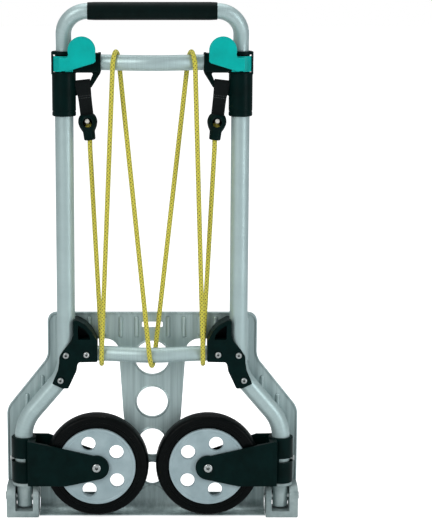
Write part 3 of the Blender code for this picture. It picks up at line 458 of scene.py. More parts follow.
dustColour = (0.55, 0.54, 0.5)
# colour of the shade painted into corners and recesses; the finishes below say how strongly each one gets it
recessShadeColour = (0.006, 0.01, 0.01)
finishes = {
    # colours run from the darker to the lighter random tone; rough runs from the lighter tone to the darker
    "tubeAluminium": {
        "pattern": "drawn", "uv": True, "feeds": {"Across": 2600.0, "Along": 9.0},
        "colours": ((0.42, 0.545, 0.55), (0.51, 0.655, 0.655)), "metallic": 0.4, "rough": (0.36, 0.46),
        "bump": 0.00003, "wear": ((0.62, 0.7, 0.7), 0.3), "dust": 0.03, "recessShade": 0.5},
    "sheetAluminium": {
        "pattern": "drawn", "turn": (math.pi / 2, 0, 0), "feeds": {"Across": 1500.0, "Along": 30.0},
        "colours": ((0.26, 0.355, 0.36), (0.55, 0.68, 0.68)), "metallic": 0.42, "rough": (0.34, 0.5),
        "bump": 0.00005, "wear": ((0.66, 0.72, 0.71), 0.5), "dust": 0.04, "recessShade": 0.85},
    "castAluminium": {
        "pattern": "grain", "feeds": {"Scale": 1100.0},
        "colours": ((0.24, 0.315, 0.32), (0.46, 0.56, 0.555)), "metallic": 0.35, "rough": (0.44, 0.62),
        "bump": 0.00035, "wear": ((0.66, 0.72, 0.71), 0.5), "dust": 0.05, "recessShade": 0.9},
    "blackPlastic": {
        "pattern": "grain", "feeds": {"Scale": 1700.0},
        "colours": ((0.0005, 0.0072, 0.0066), (0.001, 0.0125, 0.0118)), "rough": (0.3, 0.42),
        "bump": 0.00006, "wear": ((0.02, 0.05, 0.048), 0.45), "dust": 0.006, "specular": 0.06},
    "turquoisePlastic": {
        "pattern": "grain", "feeds": {"Scale": 1500.0},
        "colours": ((0.001, 0.41, 0.37), (0.002, 0.5, 0.455)), "rough": (0.32, 0.44),
        "bump": 0.00004, "wear": ((0.08, 0.62, 0.57), 0.5), "dust": 0.01, "specular": 0.12, "recessShade": 0.5},
    "yellowBraid": {
        "pattern": "braid", "uv": True, "feeds": {"Around": math.tau * 0.0035, "Pitch": 0.0054},
        "colours": ((0.56, 0.5, 0.035), (0.92, 0.85, 0.12)), "rough": (0.7, 0.92),
        "bump": 0.0003, "fleck": (0.016, 0.018, 0.012), "sheen": 0.2},
    "blackWebbing": {
        "pattern": "weave", "uv": True, "feeds": {"Across": 900.0, "Along": 1300.0},
        "colours": ((0.0012, 0.0026, 0.0028), (0.0065, 0.0125, 0.0135)), "rough": (0.75, 0.95),
        "bump": 0.0003, "sheen": 0.06, "specular": 0.2},
    "greyHub": {
        "pattern": "grain", "feeds": {"Scale": 1300.0},
        "colours": ((0.33, 0.44, 0.47), (0.43, 0.55, 0.58)), "metallic": 0.1, "rough": (0.38, 0.5),
        "bump": 0.00004, "wear": ((0.6, 0.68, 0.7), 0.4), "dust": 0.05, "specular": 0.35, "recessShade": 0.7},
    "tyreRubber": {
        "pattern": "grain", "feeds": {"Scale": 1100.0},
        "colours": ((0.0008, 0.0016, 0.0017), (0.0022, 0.0036, 0.0037)), "rough": (0.24, 0.36),
        "bump": 0.00008, "wear": ((0.03, 0.035, 0.035), 0.4), "dust": 0.006, "specular": 0.08},
    "zincSteel": {
        "pattern": "grain", "feeds": {"Scale": 700.0},
        "colours": ((0.42, 0.46, 0.46), (0.62, 0.66, 0.65)), "metallic": 0.9, "rough": (0.26, 0.38),
        "bump": 0.00002, "wear": ((0.9, 0.9, 0.9), 0.4), "dust": 0.02, "recessShade": 1.0},
    "foamGrip": {
        "pattern": "grain", "feeds": {"Scale": 2200.0},
        "colours": ((0.0008, 0.0058, 0.0052), (0.0014, 0.0085, 0.0078)), "rough": (0.38, 0.5),
        "bump": 0.0001, "dust": 0.006, "specular": 0.08},
    "cordCore": {
        "pattern": "grain", "feeds": {"Scale": 1600.0},
        "colours": ((0.7, 0.69, 0.62), (0.88, 0.87, 0.82)), "rough": (0.6, 0.8),
        "bump": 0.0001},
    "greyThread": {
        "pattern": "grain", "feeds": {"Scale": 2500.0},
        "colours": ((0.03, 0.035, 0.037), (0.08, 0.09, 0.09)), "rough": (0.6, 0.8),
        "bump": 0.00005},
    "studioFloor": {
        "pattern": "grain", "feeds": {"Scale": 40.0},
        "colours": ((0.9, 0.905, 0.91), (0.93, 0.935, 0.94)), "rough": (0.7, 0.85),
        "bump": 0.00002, "glow": 0.8},
}


def mixColour(tree, share, a, b):
    made = add(tree, "Mix", {"Factor": share}, data_type="RGBA")
    for socket, value in ((6, a), (7, b)):
        if isinstance(value, bpy.types.NodeSocket):
            tree.links.new(value, made.inputs[socket])
        else:
            made.inputs[socket].default_value = (*value, 1.0)
    return made.outputs[2]


def makeFinish(name, s):
    material = bpy.data.materials.new(name)
    material.use_nodes = True
    tree = material.node_tree
    shader = tree.nodes["Principled BSDF"]
    where = add(tree, "TexCoord")
    objectPlace = where.outputs["Object"]
    place = where.outputs["UV" if s.get("uv") else "Object"]
    if "turn" in s:
        place = add(tree, "Mapping", {"Vector": place, "Rotation": s["turn"]}).outputs[0]
    pattern = add(tree, "Group", node_tree=patterns[s["pattern"]])
    tree.links.new(place, pattern.inputs["Vector"])
    for key, value in s["feeds"].items():
        pattern.inputs[key].default_value = value
    tone = pattern.outputs["Tone"]
    colour = mixColour(tree, tone, *s["colours"])
    rough = remap(tree, tone, 0.0, 1.0, s["rough"][1], s["rough"][0])
    if "fleck" in s:
        colour = mixColour(tree, pattern.outputs["Fleck"], colour, s["fleck"])
    if "wear" in s:
        rubbed, amount = s["wear"]
        wear = add(tree, "Group", node_tree=edgeWear)
        tree.links.new(objectPlace, wear.inputs["Vector"])
        share = calc(tree, "MULTIPLY", wear.outputs["Mask"], amount)
        colour = mixColour(tree, share, colour, rubbed)
    if "dust" in s:
        dust = add(tree, "Group", node_tree=settledDust)
        tree.links.new(objectPlace, dust.inputs["Vector"])
        share = calc(tree, "MULTIPLY", dust.outputs["Mask"], s["dust"])
        colour = mixColour(tree, share, colour, dustColour)
        rough = calc(tree, "MULTIPLY_ADD", share, 0.5, rough)
    # painted shade: darker colour in corners and recesses
    if "recessShade" in s:
        recessShade = add(tree, "Group", node_tree=paintedRecessShade)
        tree.links.new(objectPlace, recessShade.inputs["Vector"])
        share = calc(tree, "MULTIPLY", recessShade.outputs["Mask"], s["recessShade"])
        colour = mixColour(tree, share, colour, recessShadeColour)
    tree.links.new(colour, shader.inputs["Base Color"])
    tree.links.new(rough, shader.inputs["Roughness"])
    shader.inputs["Metallic"].default_value = s.get("metallic", 0.0)
    shader.inputs["Sheen Weight"].default_value = s.get("sheen", 0.0)
    shader.inputs["Specular IOR Level"].default_value = s.get("specular", 0.5)
    if "glow" in s:
        shader.inputs["Emission Color"].default_value = (1, 1, 1, 1)
        seen = add(tree, "LightPath").outputs["Is Camera Ray"]
        tree.links.new(calc(tree, "MULTIPLY", seen, s["glow"]), shader.inputs["Emission Strength"])
    bump = add(tree, "Bump", {"Height": pattern.outputs["Height"], "Distance": s["bump"], "Strength": 1.0})
    tree.links.new(bump.outputs["Normal"], shader.inputs["Normal"])
    return material


materials = {name: makeFinish(name, s) for name, s in finishes.items()}
floor.data.materials.append(materials["studioFloor"])


def setSky(s):
    world = bpy.data.worlds.new("studioSky")
    world.use_nodes = True
    bpy.context.scene.world = world
    tree = world.node_tree
    upward = add(tree, "SeparateXYZ", {0: add(tree, "TexCoord").outputs["Generated"]}).outputs["Z"]
    shade = mixColour(tree, remap(tree, upward, -0.4, 0.8), s["skyLow"], s["skyHigh"])
    seen = add(tree, "LightPath").outputs["Is Camera Ray"]
    backdrop = tree.nodes["Background"]
    tree.links.new(mixColour(tree, seen, shade, s["backdrop"]), backdrop.inputs["Color"])
    backdrop.inputs["Strength"].default_value = s["skyPower"]


setSky(studio)
print("materials:", len(materials))


# settling pieces on the CAD bodies

slotFinishes = {
    "frame": "tubeAluminium", "plate": "sheetAluminium", "cast": "castAluminium", "plastic": "blackPlastic",
    "teal": "turquoisePlastic", "cord": "yellowBraid", "webbing": "blackWebbing", "hub": "greyHub",
    "tyre": "tyreRubber", "zinc": "zincSteel", "grip": "foamGrip",
}
sharedBodies = ("frame", "handle", "toe_plate")


def settle(piece, name, body, slotName, nodes=(), angle=38, finish=None):
    activate(piece)
    piece.name = name
    bpy.ops.object.shade_smooth_by_angle(angle=math.radians(angle))
    useModifier(piece, "WEIGHTED_NORMAL", keep_sharp=True)
    piece.data.materials.clear()
    piece.data.materials.append(materials[finish or slotFinishes[slotName]])
    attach(piece, body)
    if nodes:
        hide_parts(*nodes)
    return piece


def finishNode(node, finish):
    # a CAD node that stays as it is, with a finish of its own
    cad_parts[node].data.materials.clear()
    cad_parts[node].data.materials.append(materials[finish])


def settlePair(piece, base, body, slotName, nodes=(), angle=38, finish=None):
    pair = {"right": piece, "left": mirrored(piece, "left" + base)}
    for label, one in pair.items():
        own = body if body in sharedBodies else label + "_" + body
        settle(one, label + base, own, slotName, [label + "_" + node for node in nodes], angle, finish)
    return pair


def copied(piece, name, shift):
    activate(piece)
    bpy.ops.object.duplicate()
    copy = bpy.context.object
    copy.name = name
    bpy.ops.object.mode_set(mode="EDIT")
    bpy.ops.mesh.select_all(action="SELECT")
    bpy.ops.transform.translate(value=shift)
    bpy.ops.object.mode_set(mode="OBJECT")
    return copy


# elastic cord

bars = {  # height and how far the middle bows towards the back
    "top": (0.661, 0.018),
    "low": (0.243, 0.013),
    "half": 0.104,
    "bowHalf": 0.084,
    "radius": 0.011,
}
cordRun = {
    "radius": 0.0035,
    "gap": 0.0008,
    "wrapSteps": 18,
    "step": 0.0016,
    "sides": 24,
    "relief": 0.00013,
    "crossings": 6,          # strand crossings round the cord
    "plait": 0.0032,         # length of one crossing along the cord
    "eases": 6,              # passes that round off the corners
    "buckleEnd": (0.088, 0.0, 0.552),
    "inBuckle": (0.018, 0.009, 0.0),    # heights of the cord's end above the buckle's lower end
    "below": 0.01,
    "lean": math.radians(6.45),
    "wraps": (               # bar, x where the turn starts and ends, degrees where it starts and ends
        ("low", -0.0733, -0.0728, 3, -183),
        ("top", -0.055, -0.047, 177, 5),
        ("low", -0.004, 0.004, -185, 5),
        ("top", 0.0497, 0.0596, -5, 183),
        ("low", 0.0728, 0.0733, -177, 3),
    ),
}


def barY(x, bow):
    half = bars["bowHalf"]
    return 0.0 if abs(x) >= half else -bow * math.cos(math.pi * x / (2 * half)) ** 2


def cordRoute(s):
    x, y, z = s["buckleEnd"]
    away = math.tan(s["lean"])
    ends = [Vector((x + away * rise, y, z + rise)) for rise in s["inBuckle"]] + [Vector((x, y, z - s["below"]))]
    route = [Vector((-p.x, p.y, p.z)) for p in ends]
    reach = bars["radius"] + s["radius"] + s["gap"]
    for bar, firstX, lastX, first, last in s["wraps"]:
        barZ, bow = bars[bar]
        for i in range(s["wrapSteps"] + 1):
            share = i / s["wrapSteps"]
            angle = math.radians(first + (last - first) * share)
            across = firstX + (lastX - firstX) * share
            y = barY(across, bow) + reach * math.cos(angle)
            route.append(Vector((across, y, barZ + reach * math.sin(angle))))
    return route + ends[::-1]


def evenly(points, step, eases):
    # the same line, divided into equal steps, with its corners eased
    along = [0.0]
    for before, after in zip(points, points[1:]):
        along.append(along[-1] + (after - before).length)
    count = int(along[-1] / step)
    result, i = [], 0
    for k in range(count + 1):
        distance = along[-1] * k / count
        while i < len(points) - 2 and along[i + 1] < distance:
            i += 1
        result.append(points[i].lerp(points[i + 1], (distance - along[i]) / (along[i + 1] - along[i])))
    for _ in range(eases):
        result[1:-1] = [(a + b * 2 + c) / 4 for a, b, c in zip(result, result[1:], result[2:])]
    return result


def makeCord(s):
    centres = evenly(cordRoute(s), s["step"], s["eases"])
    sides, points, faces = s["sides"], [], []
    across = Vector((0, 1, 0))
    total = 0.0
    for i, centre in enumerate(centres):
        ahead = (centres[min(i + 1, len(centres) - 1)] - centres[max(i - 1, 0)]).normalized()
        across = (across - ahead * across.dot(ahead)).normalized()
        beside = ahead.cross(across)
        total += (centre - centres[i - 1]).length if i else 0.0
        for k in range(sides):
            turn = math.tau * k / sides
            wave = math.sin(s["crossings"] * turn + math.pi * total / s["plait"])
            wave *= math.sin(s["crossings"] * turn - math.pi * total / s["plait"])
            reach = s["radius"] - s["relief"] * (1 - wave) / 2
            points.append(centre + (across * math.cos(turn) + beside * math.sin(turn)) * reach)
    for i in range(len(centres) - 1):
        for k in range(sides):
            near, beyond = i * sides, (i + 1) * sides
            faces.append((near + k, near + (k + 1) % sides, beyond + (k + 1) % sides, beyond + k))
    faces.append(tuple(range(sides))[::-1])
    faces.append(tuple(range((len(centres) - 1) * sides, len(centres) * sides)))
    mesh = bpy.data.meshes.new("elasticCord")
    mesh.from_pydata(points, [], faces)
    piece = bpy.data.objects.new("elasticCord", mesh)
    bpy.context.scene.collection.objects.link(piece)
    layUv(piece, centres, s["radius"], sides)
    activate(piece)
    bpy.ops.object.mode_set(mode="EDIT")
    closeUp(1e-7)
    settle(piece, "elasticCord", "frame", "cord", ["elastic_cord"], 60)
    print(f"cord: {total:.3f} m")


makeCord(cordRun)


# tubes, crossbars and the telescopic handle

tubes = {
    "frameRadius": 0.013,
    "handleRadius": 0.011,
    "wall": 0.0015,
    "frame": ((0.124, 0, 0.645), (0.124, 0, 0.2147), (0.187, 0, 0.1407), (0.187, 0, 0.0523)),
    "frameBends": (0.06, 0.06),
    "handle": ((0.124, 0, 0.262), (0.124, 0, 0.688), (0.124, -0.013, 0.7325)),
    "handleBends": (0.05, 0.034, 0.034, 0.05),
    "lockHoles": (0.6545, 0.4945, 0.3345),
    "lockHoleRadius": 0.0026,
    "lockHoleY": (-0.02, -0.004),
}
grip = {
    "centre": (0, -0.013, 0.7325),
    "half": 0.09,
    "radius": 0.0125,
    "bore": (0.0113, 0.0004),                  # radius, and how far its edge lies inside the ends
    "ends": ((0.0, 0.0117), (0.0006, 0.0121), (0.003, 0.0122), (0.01, 0.0125)),
}


def barPath(name, steps=40):
    z, bow = bars[name]
    xs = [bars["half"] * (2 * i / steps - 1) for i in range(steps + 1)]
    return [Vector((x, barY(x, bow), z)) for x in xs]


def makeTubes(s):
    path = bentPath(s["frame"], s["frameBends"])
    frameTube = tubeAlong("frameTube", path, s["frameRadius"], wall=s["wall"])
    settlePair(frameTube, "FrameTube", "frame", "frame", ["frame_tube"])
    half = [Vector(p) for p in s["handle"]]
    corners = half + [Vector((-p.x, p.y, p.z)) for p in reversed(half)]
    handle = tubeAlong("handleTube", bentPath(corners, s["handleBends"]), s["handleRadius"], wall=s["wall"])
    low, high = s["lockHoleY"]
    for z in s["lockHoles"]:
        for x in (-half[0].x, half[0].x):
            cutAway(handle, rod("lockHole", (x, low, z), (x, high, z), s["lockHoleRadius"], 24))
    settle(handle, "handleTube", "handle", "frame", ["handle_tube"])
    for name, node in (("top", "top_crossbar"), ("low", "lower_crossbar")):
        bar = tubeAlong(name + "Crossbar", barPath(name), bars["radius"], wall=s["wall"])
        settle(bar, name + "Crossbar", "frame", "frame", [node])


def makeGrip(s):
    half, ends = s["half"], s["ends"]
    profile = [(r, half - inward) for inward, r in ends] + [(s["radius"], 0.0)]
    profile += [(r, inward - half) for inward, r in reversed(ends)]
    bore, inward = s["bore"]
    profile += [(bore, inward - half), (bore, half - inward)]
    piece = turned("grip", profile, "X", s["centre"], 64, ring=True)
    settle(piece, "foamGrip", "handle", "grip", ["grip"], 60)


makeTubes(tubes)
makeGrip(grip)
for label in ("left", "right"):
    finishNode(label + "_handle_glide", "blackPlastic")
print("tubes and grip are in place")


# collars, release levers and lock pins

collar = {
    "x": 0.124,
    "radius": 0.0168,
    "low": 0.586,
    "top": 0.6768,
    "edge": 0.001,
    "neck": (0.647, 0.6722, 0.0124),
    "groove": (0.5925, 0.0012, 0.0005),
    "frameBore": (0.0133, 0.57, 0.6453),       # radius, from, to
    "slideBore": (0.0113, 0.6, 0.7),
    "pinBore": (0.0023, 0.6545, -0.02, -0.01),         # radius, height, y from, y to
    "boss": (0.0045, 0.66, 0.0118, 0.0132),             # radius, height, x from, x to
    "bossBore": (0.0034, 0.0116, 0.02),
    "softEdge": 0.0004,
    "socket": ((0.0735, -0.013, 0.648), (0.122, 0.013, 0.6738)),
    "socketLip": ((0.072, -0.0138, 0.6472), (0.0762, 0.0138, 0.6745)),
    "loop": ((0.0725, 0.652), (0.0725, 0.646), (0.0845, 0.627), (0.09, 0.6215), (0.103, 0.6155),
             (0.11, 0.6135), (0.112, 0.652)),
    "window": ((0.0825, 0.6465), (0.1075, 0.6465), (0.1075, 0.622), (0.1035, 0.6275), (0.0885, 0.632)),
    "windowRound": (0.002, 0.002, 0.001, 0.002, 0.003),
    "loopHalf": 0.0035,
    "cover": (0.0162, 0.0177, -28, 32, 0.6442, 0.676),    # radii, degrees from +X towards the back, heights
    "coverHollow": (0.0171, 0.6472, 0.6728),
}


def makeCollar(s):
    x, r, low, top, edge = s["x"], s["radius"], s["low"], s["top"], s["edge"]
    neckLow, neckTop, neck = s["neck"]
    z, width, depth = s["groove"]
    soft = s["softEdge"]
    profile = [(0, top), (r - edge, top), (r - edge * 0.3, top - edge * 0.3), (r, top - edge), (r, neckTop + soft),
               (r - soft, neckTop), (neck, neckTop), (neck, neckLow), (r - soft, neckLow), (r, neckLow - soft),
               (r, z + width), (r - depth, z + width * 0.6), (r - depth, z - width * 0.6), (r, z - width),
               (r, low + edge), (r - edge, low), (0, low)]
    piece = turned("collar", profile, "Z", (x, 0, 0), 72)
    socket = block("socket", *s["socket"], bevel=0.0022)
    lip = block("lip", *s["socketLip"], bevel=0.0012)
    loop = slab("loop", s["loop"], "XZ", -s["loopHalf"], s["loopHalf"])
    windowOutline = roundCorners(s["window"], s["windowRound"], 4)
    loop = roundEdges(cutAway(loop, slab("window", windowOutline, "XZ", -0.01, 0.01)), 0.0009, 3)
    radius, bossZ, near, far = s["boss"]
    boss = rod("boss", (x + near, 0, bossZ), (x + far, 0, bossZ), radius, 32)
    inner, outer, first, last, coverLow, coverTop = s["cover"]
    outline = arc(x, inner, outer, sweep(first, last, 20))
    cover = slab("cover", outline, "XY", coverLow, coverTop, 0.0005, 2)
    hollow, hollowLow, hollowTop = s["coverHollow"]
    cutAway(cover, rod("hollow", (x, 0, hollowLow), (x, 0, hollowTop), hollow, 72))
    combine(piece, [socket, lip, loop, boss, cover])
    bores = [rod("bore", (x, 0, start), (x, 0, end), r, 64) for r, start, end in (s["frameBore"], s["slideBore"])]
    bores.append(tubeAlong("bore", barPath("top"), bars["radius"] + fitGap, 48))
    r, z, near, far = s["pinBore"]
    bores.append(rod("bore", (x, near, z), (x, far, z), r, 24))
    r, near, far = s["bossBore"]
    bores.append(rod("bore", (x + near, 0, bossZ), (x + far, 0, bossZ), r, 32))
    cutAway(piece, bores)
    settlePair(piece, "Collar", "frame", "plastic", ["collar"], 34)


lever = {
    "low": 0.6486,
    "high": 0.6702,
    "inner": 0.0144,
    "outer": 0.0164,
    "band": (-10, 90, 0.1105),        # degrees from +X towards the back, then straight on to this x
    "web": ((0.111, -0.0245, 0.6502), (0.1195, -0.0152, 0.669)),
    "paddle": (0.098, 0.679, 0.0194),
    "paddleY": (-0.03, -0.0238),
    "paddleTurn": (-8, 196),
    "tail": ((0.118, 0.6688), (0.129, 0.6688), (0.129, 0.6504), (0.117, 0.6504), (0.0815, 0.6613),
             (0.0786, 0.6635)),
    "ridges": (42, 50, 58),
    "ridge": (0.0005, 0.002),         # radius, and how far the ends lie inside the band's edges
    "notch": (0.0026, (-0.018, -0.013), (0.6485, 0.6571)),
    "stub": (0.003, 0.66, 0.012, 0.0152),
}
lockPin = ((-0.0158, -0.0114), 0.6545, 0.002)


def makeLever(s):
    x, inner, outer, low, high = collar["x"], s["inner"], s["outer"], s["low"], s["high"]
    first, last, end = s["band"]
    band = arc(x, inner, outer, sweep(first, last, 24), [(end, -outer), (end, -inner)])
    piece = slab("releaseLever", band, "XY", low, high, 0.0006, 2)
    px, pz, pr = s["paddle"]
    outline = [(px - pr * math.cos(a), pz + pr * math.sin(a)) for a in sweep(*s["paddleTurn"], 40)]
    paddle = slab("paddle", outline + list(s["tail"]), "XZ", *s["paddleY"], 0.0017, 4)
    added = [block("web", *s["web"], bevel=0.0008), paddle]
    radius, inward = s["ridge"]
    for a in map(math.radians, s["ridges"]):
        ridgeX, ridgeY = x + outer * math.cos(a), -outer * math.sin(a)
        added.append(rod("ridge", (ridgeX, ridgeY, low + inward), (ridgeX, ridgeY, high - inward), radius, 10))
    combine(piece, added)
    half, ys, zs = s["notch"]
    cutAway(piece, block("notch", (x - half, ys[0], zs[0]), (x + half, ys[1], zs[1])))
    radius, z, near, far = s["stub"]
    combine(piece, rod("stub", (x + near, 0, z), (x + far, 0, z), radius, 32))
    settlePair(piece, "ReleaseLever", "lever", "teal", ["release_lever"], 34)
    ys, z, radius = lockPin
    pin = rod("lockPin", (x, ys[0], z), (x, ys[1], z), radius, 32, 0.0004)
    settlePair(pin, "LockPin", "pin", "zinc", ["lock_pin"])


makeCollar(collar)
makeLever(lever)
print("collars and levers are in place")


# straps, cord buckles and the knots in them

strap = {
    "half": 0.00925,
    "outer": ((-0.002, 0.0345), (-0.002, 0.049), (-0.006, 0.0595), (-0.006, 0.082), (-0.004, 0.0852)),
    "bends": (0, 0.004, 0.004, 0.002, 0.002),
    "hole": ((-0.0007, 0.0535), (-0.0043, 0.061), (-0.0043, 0.0812), (-0.003, 0.0832)),
    "holeBends": (0, 0.004, 0.001, 0.001),
    "fold": (0.066, 0.0672, 1.18, 1.14, 0.0008),    # heights, how much wider and thicker, shift outwards
    "stitchRows": (0.06, 0.063),
    "stitchY": 0.00605,
    "stitches": 7,
    "stitchLength": 0.0015,
    "stitchRadius": 0.00028,
}
buckle = {
    "profile": (
        (0, 0.034), (0.0076, 0.034), (0.0084, 0.0356), (0.0096, 0.036), (0.0106, 0.0352),
        (0.012, 0.033), (0.0132, 0.0295), (0.0137, 0.0262), (0.0134, 0.0232), (0.0122, 0.019),
        (0.0104, 0.015), (0.009, 0.0128), (0.0085, 0.0112), (0.0082, 0.0018), (0.0077, 0.0004),
        (0.007, 0), (0, 0)),
    "eye": (0.0248, 0.0068),
    "hollow": (0.024, 0.0088),
    "bore": 0.0042,
    "knot": (0.0205, 0.0014, 0.0019),          # height, size of the loops and radius of the cord in the knot
    "knotY": -0.001,
    "core": ((0.0004, -0.0035, 0.0258), (0.0004, -0.0094, 0.0279), 0.0031),
}


def lean(piece):
    # from the buckle's own upright frame to its place on the right-hand side
    activate(piece)
    piece.location = cordRun["buckleEnd"]
    piece.rotation_euler = (0, cordRun["lean"], 0)
    bpy.ops.object.transform_apply(location=True, rotation=True, scale=False)
    return piece


def makeStrap(s):
    bends, holeBends = s["bends"], s["holeBends"]
    outline = roundCorners(bothSides(s["outer"]), bends + bends[::-1], 5)
    inside = roundCorners(bothSides(s["hole"]), holeBends + holeBends[::-1], 4)
    piece = slab("strap", outline, "YZ", -s["half"], s["half"])
    cutAway(piece, slab("inside", inside, "YZ", -0.02, 0.02))
    roundEdges(piece, 0.0004, 2, 60)
    start, end, wider, thicker, shift = s["fold"]
    uv = piece.data.uv_layers.new(name="along")
    for v in piece.data.vertices:
        share = min(max((v.co.z - start) / (end - start), 0.0), 1.0)
        v.co.x = v.co.x * (1 + (wider - 1) * share) + shift * share
        v.co.y *= 1 + (thicker - 1) * share
    for loop in piece.data.loops:
        place = piece.data.vertices[loop.vertex_index].co
        uv.data[loop.index].uv = (place.x, place.z)
    settlePair(lean(piece), "Strap", "frame", "webbing", ["strap"], 50)
    seams = []
    for face in (-1, 1):
        for z in s["stitchRows"]:
            for i in range(s["stitches"]):
                x = s["half"] * 0.8 * (2 * i / (s["stitches"] - 1) - 1)
                ends = [(x + k * s["stitchLength"] / 2, face * s["stitchY"], z) for k in (-1, 1)]
                seams.append(rod("stitch", *ends, s["stitchRadius"], 8, 0.0001))
    stitches = joinInto(seams[0], seams[1:])
    settlePair(lean(stitches), "StrapStitches", "frame", "webbing", (), 50, "greyThread")


def makeBuckle(s):
    piece = turned("buckle", s["profile"], "Z", (0, 0, 0), 64)
    z, r = s["eye"]
    cutAway(piece, rod("eye", (0, -0.02, z + 0.001), (0, 0, z), r, 48))
    z, r = s["hollow"]
    nothingSelected()
    bpy.ops.mesh.primitive_uv_sphere_add(segments=40, ring_count=24, radius=r, location=(0, 0, z))
    hollow = bpy.context.object
    bpy.ops.object.transform_apply(location=True)
    cutAway(piece, [hollow, rod("bore", (0, 0, -0.01), (0, 0, z), s["bore"], 40)])
    settlePair(lean(piece), "CordBuckle", "frame", "plastic", ["cord_buckle"], 34)
    z, size, thick = s["knot"]
    loops = []
    for i in range(73):          # a trefoil, open at its start
        t = math.tau * (0.02 + 0.96 * i / 72)
        wide = size * (2 + math.cos(3 * t))
        y = s["knotY"] + size * 1.2 * math.sin(3 * t)
        loops.append(Vector((wide * math.cos(2 * t), y, z + wide * math.sin(2 * t) * 0.8)))
    knot = tubeAlong("knot", loops, thick, 16)
    settlePair(lean(knot), "CordKnot", "frame", "cord", (), 60)
    start, end, r = s["core"]
    core = rod("core", start, end, r, 32, 0.0005)
    settlePair(lean(core), "CordCore", "frame", "cord", (), 40, "cordCore")


makeStrap(strap)
makeBuckle(buckle)
print("straps and buckles are in place")


# corner brackets and their screws

bracket = {
    "outline": (
        (0.1135, 0.294), (0.108, 0.295), (0.096, 0.2885), (0.087, 0.279), (0.0815, 0.269), (0.079, 0.264),
        (0.079, 0.2335), (0.105, 0.233), (0.1075, 0.2296), (0.109, 0.22), (0.121, 0.1943), (0.1294, 0.1943),
        (0.144, 0.2013), (0.136, 0.22), (0.134, 0.2316), (0.1336, 0.241), (0.1275, 0.251), (0.1166, 0.264),
        (0.1135, 0.2725)),
    "round": (0.002, 0.003, 0.006, 0.01, 0.006, 0.004, 0.0015, 0.002, 0.004, 0.01, 0.002, 0.003,
              0.0015, 0.01, 0.01, 0.008, 0.012, 0.012, 0.006),
    "window": ((0.1065, 0.288), (0.1065, 0.2665), (0.0885, 0.2665), (0.0905, 0.2735), (0.0965, 0.2815)),
    "windowRound": (0.001, 0.0015, 0.0012, 0.004, 0.006),
    "windowFloor": 0.006,
    "half": 0.0175,
    "edge": 0.0016,
    "seat": (0.0051, -0.03, -0.016),         # radius, y from, y to
    "hole": (0.0032, -0.03, 0.015),
    "screws": {"upper": (0.124, 0.243), "inner": (0.0945, 0.244), "lower": (0.132, 0.206)},
}
screwHead = {
    # radius and y of the head and shank, from the front end
    "profile": ((0, 0.0145), (0.0026, 0.0145), (0.0029, 0.014), (0.0029, -0.0163), (0.0044, -0.0163),
                (0.0046, -0.0167), (0.0045, -0.0176), (0.004, -0.0185), (0.0031, -0.019), (0, -0.019)),
    "socket": (0.0021, -0.025, -0.0135),      # size, y from, y to
}


def cutSocket(piece, centre, radius, low, high, axis="Y"):
    ends = [Vector(centre) + Vector(axes[axis]) * h for h in (low, high)]
    return cutAway(piece, rod("socket", *ends, radius, 6))


def makeBracket(s):
    outline, windowOutline = roundCorners(s["outline"], s["round"], 4), roundCorners(s["window"], s["windowRound"], 4)
    piece = slab("bracket", outline, "XZ", -s["half"], s["half"], s["edge"], 3)
    tubePath = bentPath(tubes["frame"], tubes["frameBends"])
    cutters = [
        slab("window", windowOutline, "XZ", -0.03, s["windowFloor"]),
        tubeAlong("bore", tubePath, tubes["frameRadius"] + fitGap, 64),
        tubeAlong("bore", barPath("low"), bars["radius"] + fitGap, 48)]
    for x, z in s["screws"].values():
        for (radius, low, high), sides in ((s["seat"], 40), (s["hole"], 24)):
            cutters.append(rod("hole", (x, low, z), (x, high, z), radius, sides))
    cutAway(piece, cutters)
    settlePair(piece, "CornerBracket", "frame", "plastic", ["corner_bracket"], 34)
    screw = turned("screw", screwHead["profile"], "Y", (0, 0, 0), 40)
    cutSocket(screw, (0, 0, 0), *screwHead["socket"])
    for place, (x, z) in s["screws"].items():
        one = copied(screw, "screw", (x, 0, z))
        settlePair(one, "BracketScrew" + place.capitalize(), "frame", "zinc", ["bracket_screw_" + place], 34)
    bpy.data.objects.remove(screw)


makeBracket(bracket)
print("brackets are in place")


# lower ends of the frame tubes

postEnd = {
    "x": 0.187,
    "plug": ((0, 0.076), (0.0112, 0.076), (0.0112, 0.052), (0.011, 0.052), (0.011, 0.017),
             (0.0105, 0.0153), (0.0092, 0.0142), (0.008, 0.014), (0, 0.014)),
    "pinHole": (0.0295, 0.0042),
    "washer": ((0.017, 0.0517), (0.0175, 0.0513), (0.0175, 0.0479), (0.0171, 0.0475), (0.0113, 0.0475),
               (0.0113, 0.0517)),
    "stop": ((0, 0.0202), (0.0034, 0.0202), (0.0041, 0.02), (0.0043, 0.0195), (0.0043, 0.0183),
             (0.0026, 0.0183), (0.0026, 0.009), (0, 0.009)),
    "stopZ": 0.0863,
    "stopSocket": (0.0019, 0.0186, 0.03),
}


def makePostEnd(s):
    x = s["x"]
    plug = turned("plug", s["plug"], "Z", (x, 0, 0), 56)
    z, r = s["pinHole"]
    cutAway(plug, rod("hole", (x - 0.03, 0, z), (x + 0.03, 0, z), r, 32))
    settlePair(plug, "FootPlug", "frame", "cast", ["foot_plug"], 34)
    washer = turned("washer", s["washer"], "Z", (x, 0, 0), 64, ring=True)
    settlePair(washer, "ThrustWasher", "frame", "cast", ["thrust_washer"], 34)
    stop = turned("stop", s["stop"], "X", (x, 0, s["stopZ"]), 36)
    cutSocket(stop, (x, 0, s["stopZ"]), *s["stopSocket"], "X")
    settlePair(stop, "ArmStopScrew", "frame", "zinc", ["arm_stop_screw"], 34)


makePostEnd(postEnd)
print("lower ends of the tubes are in place")


# wheel arms and axles

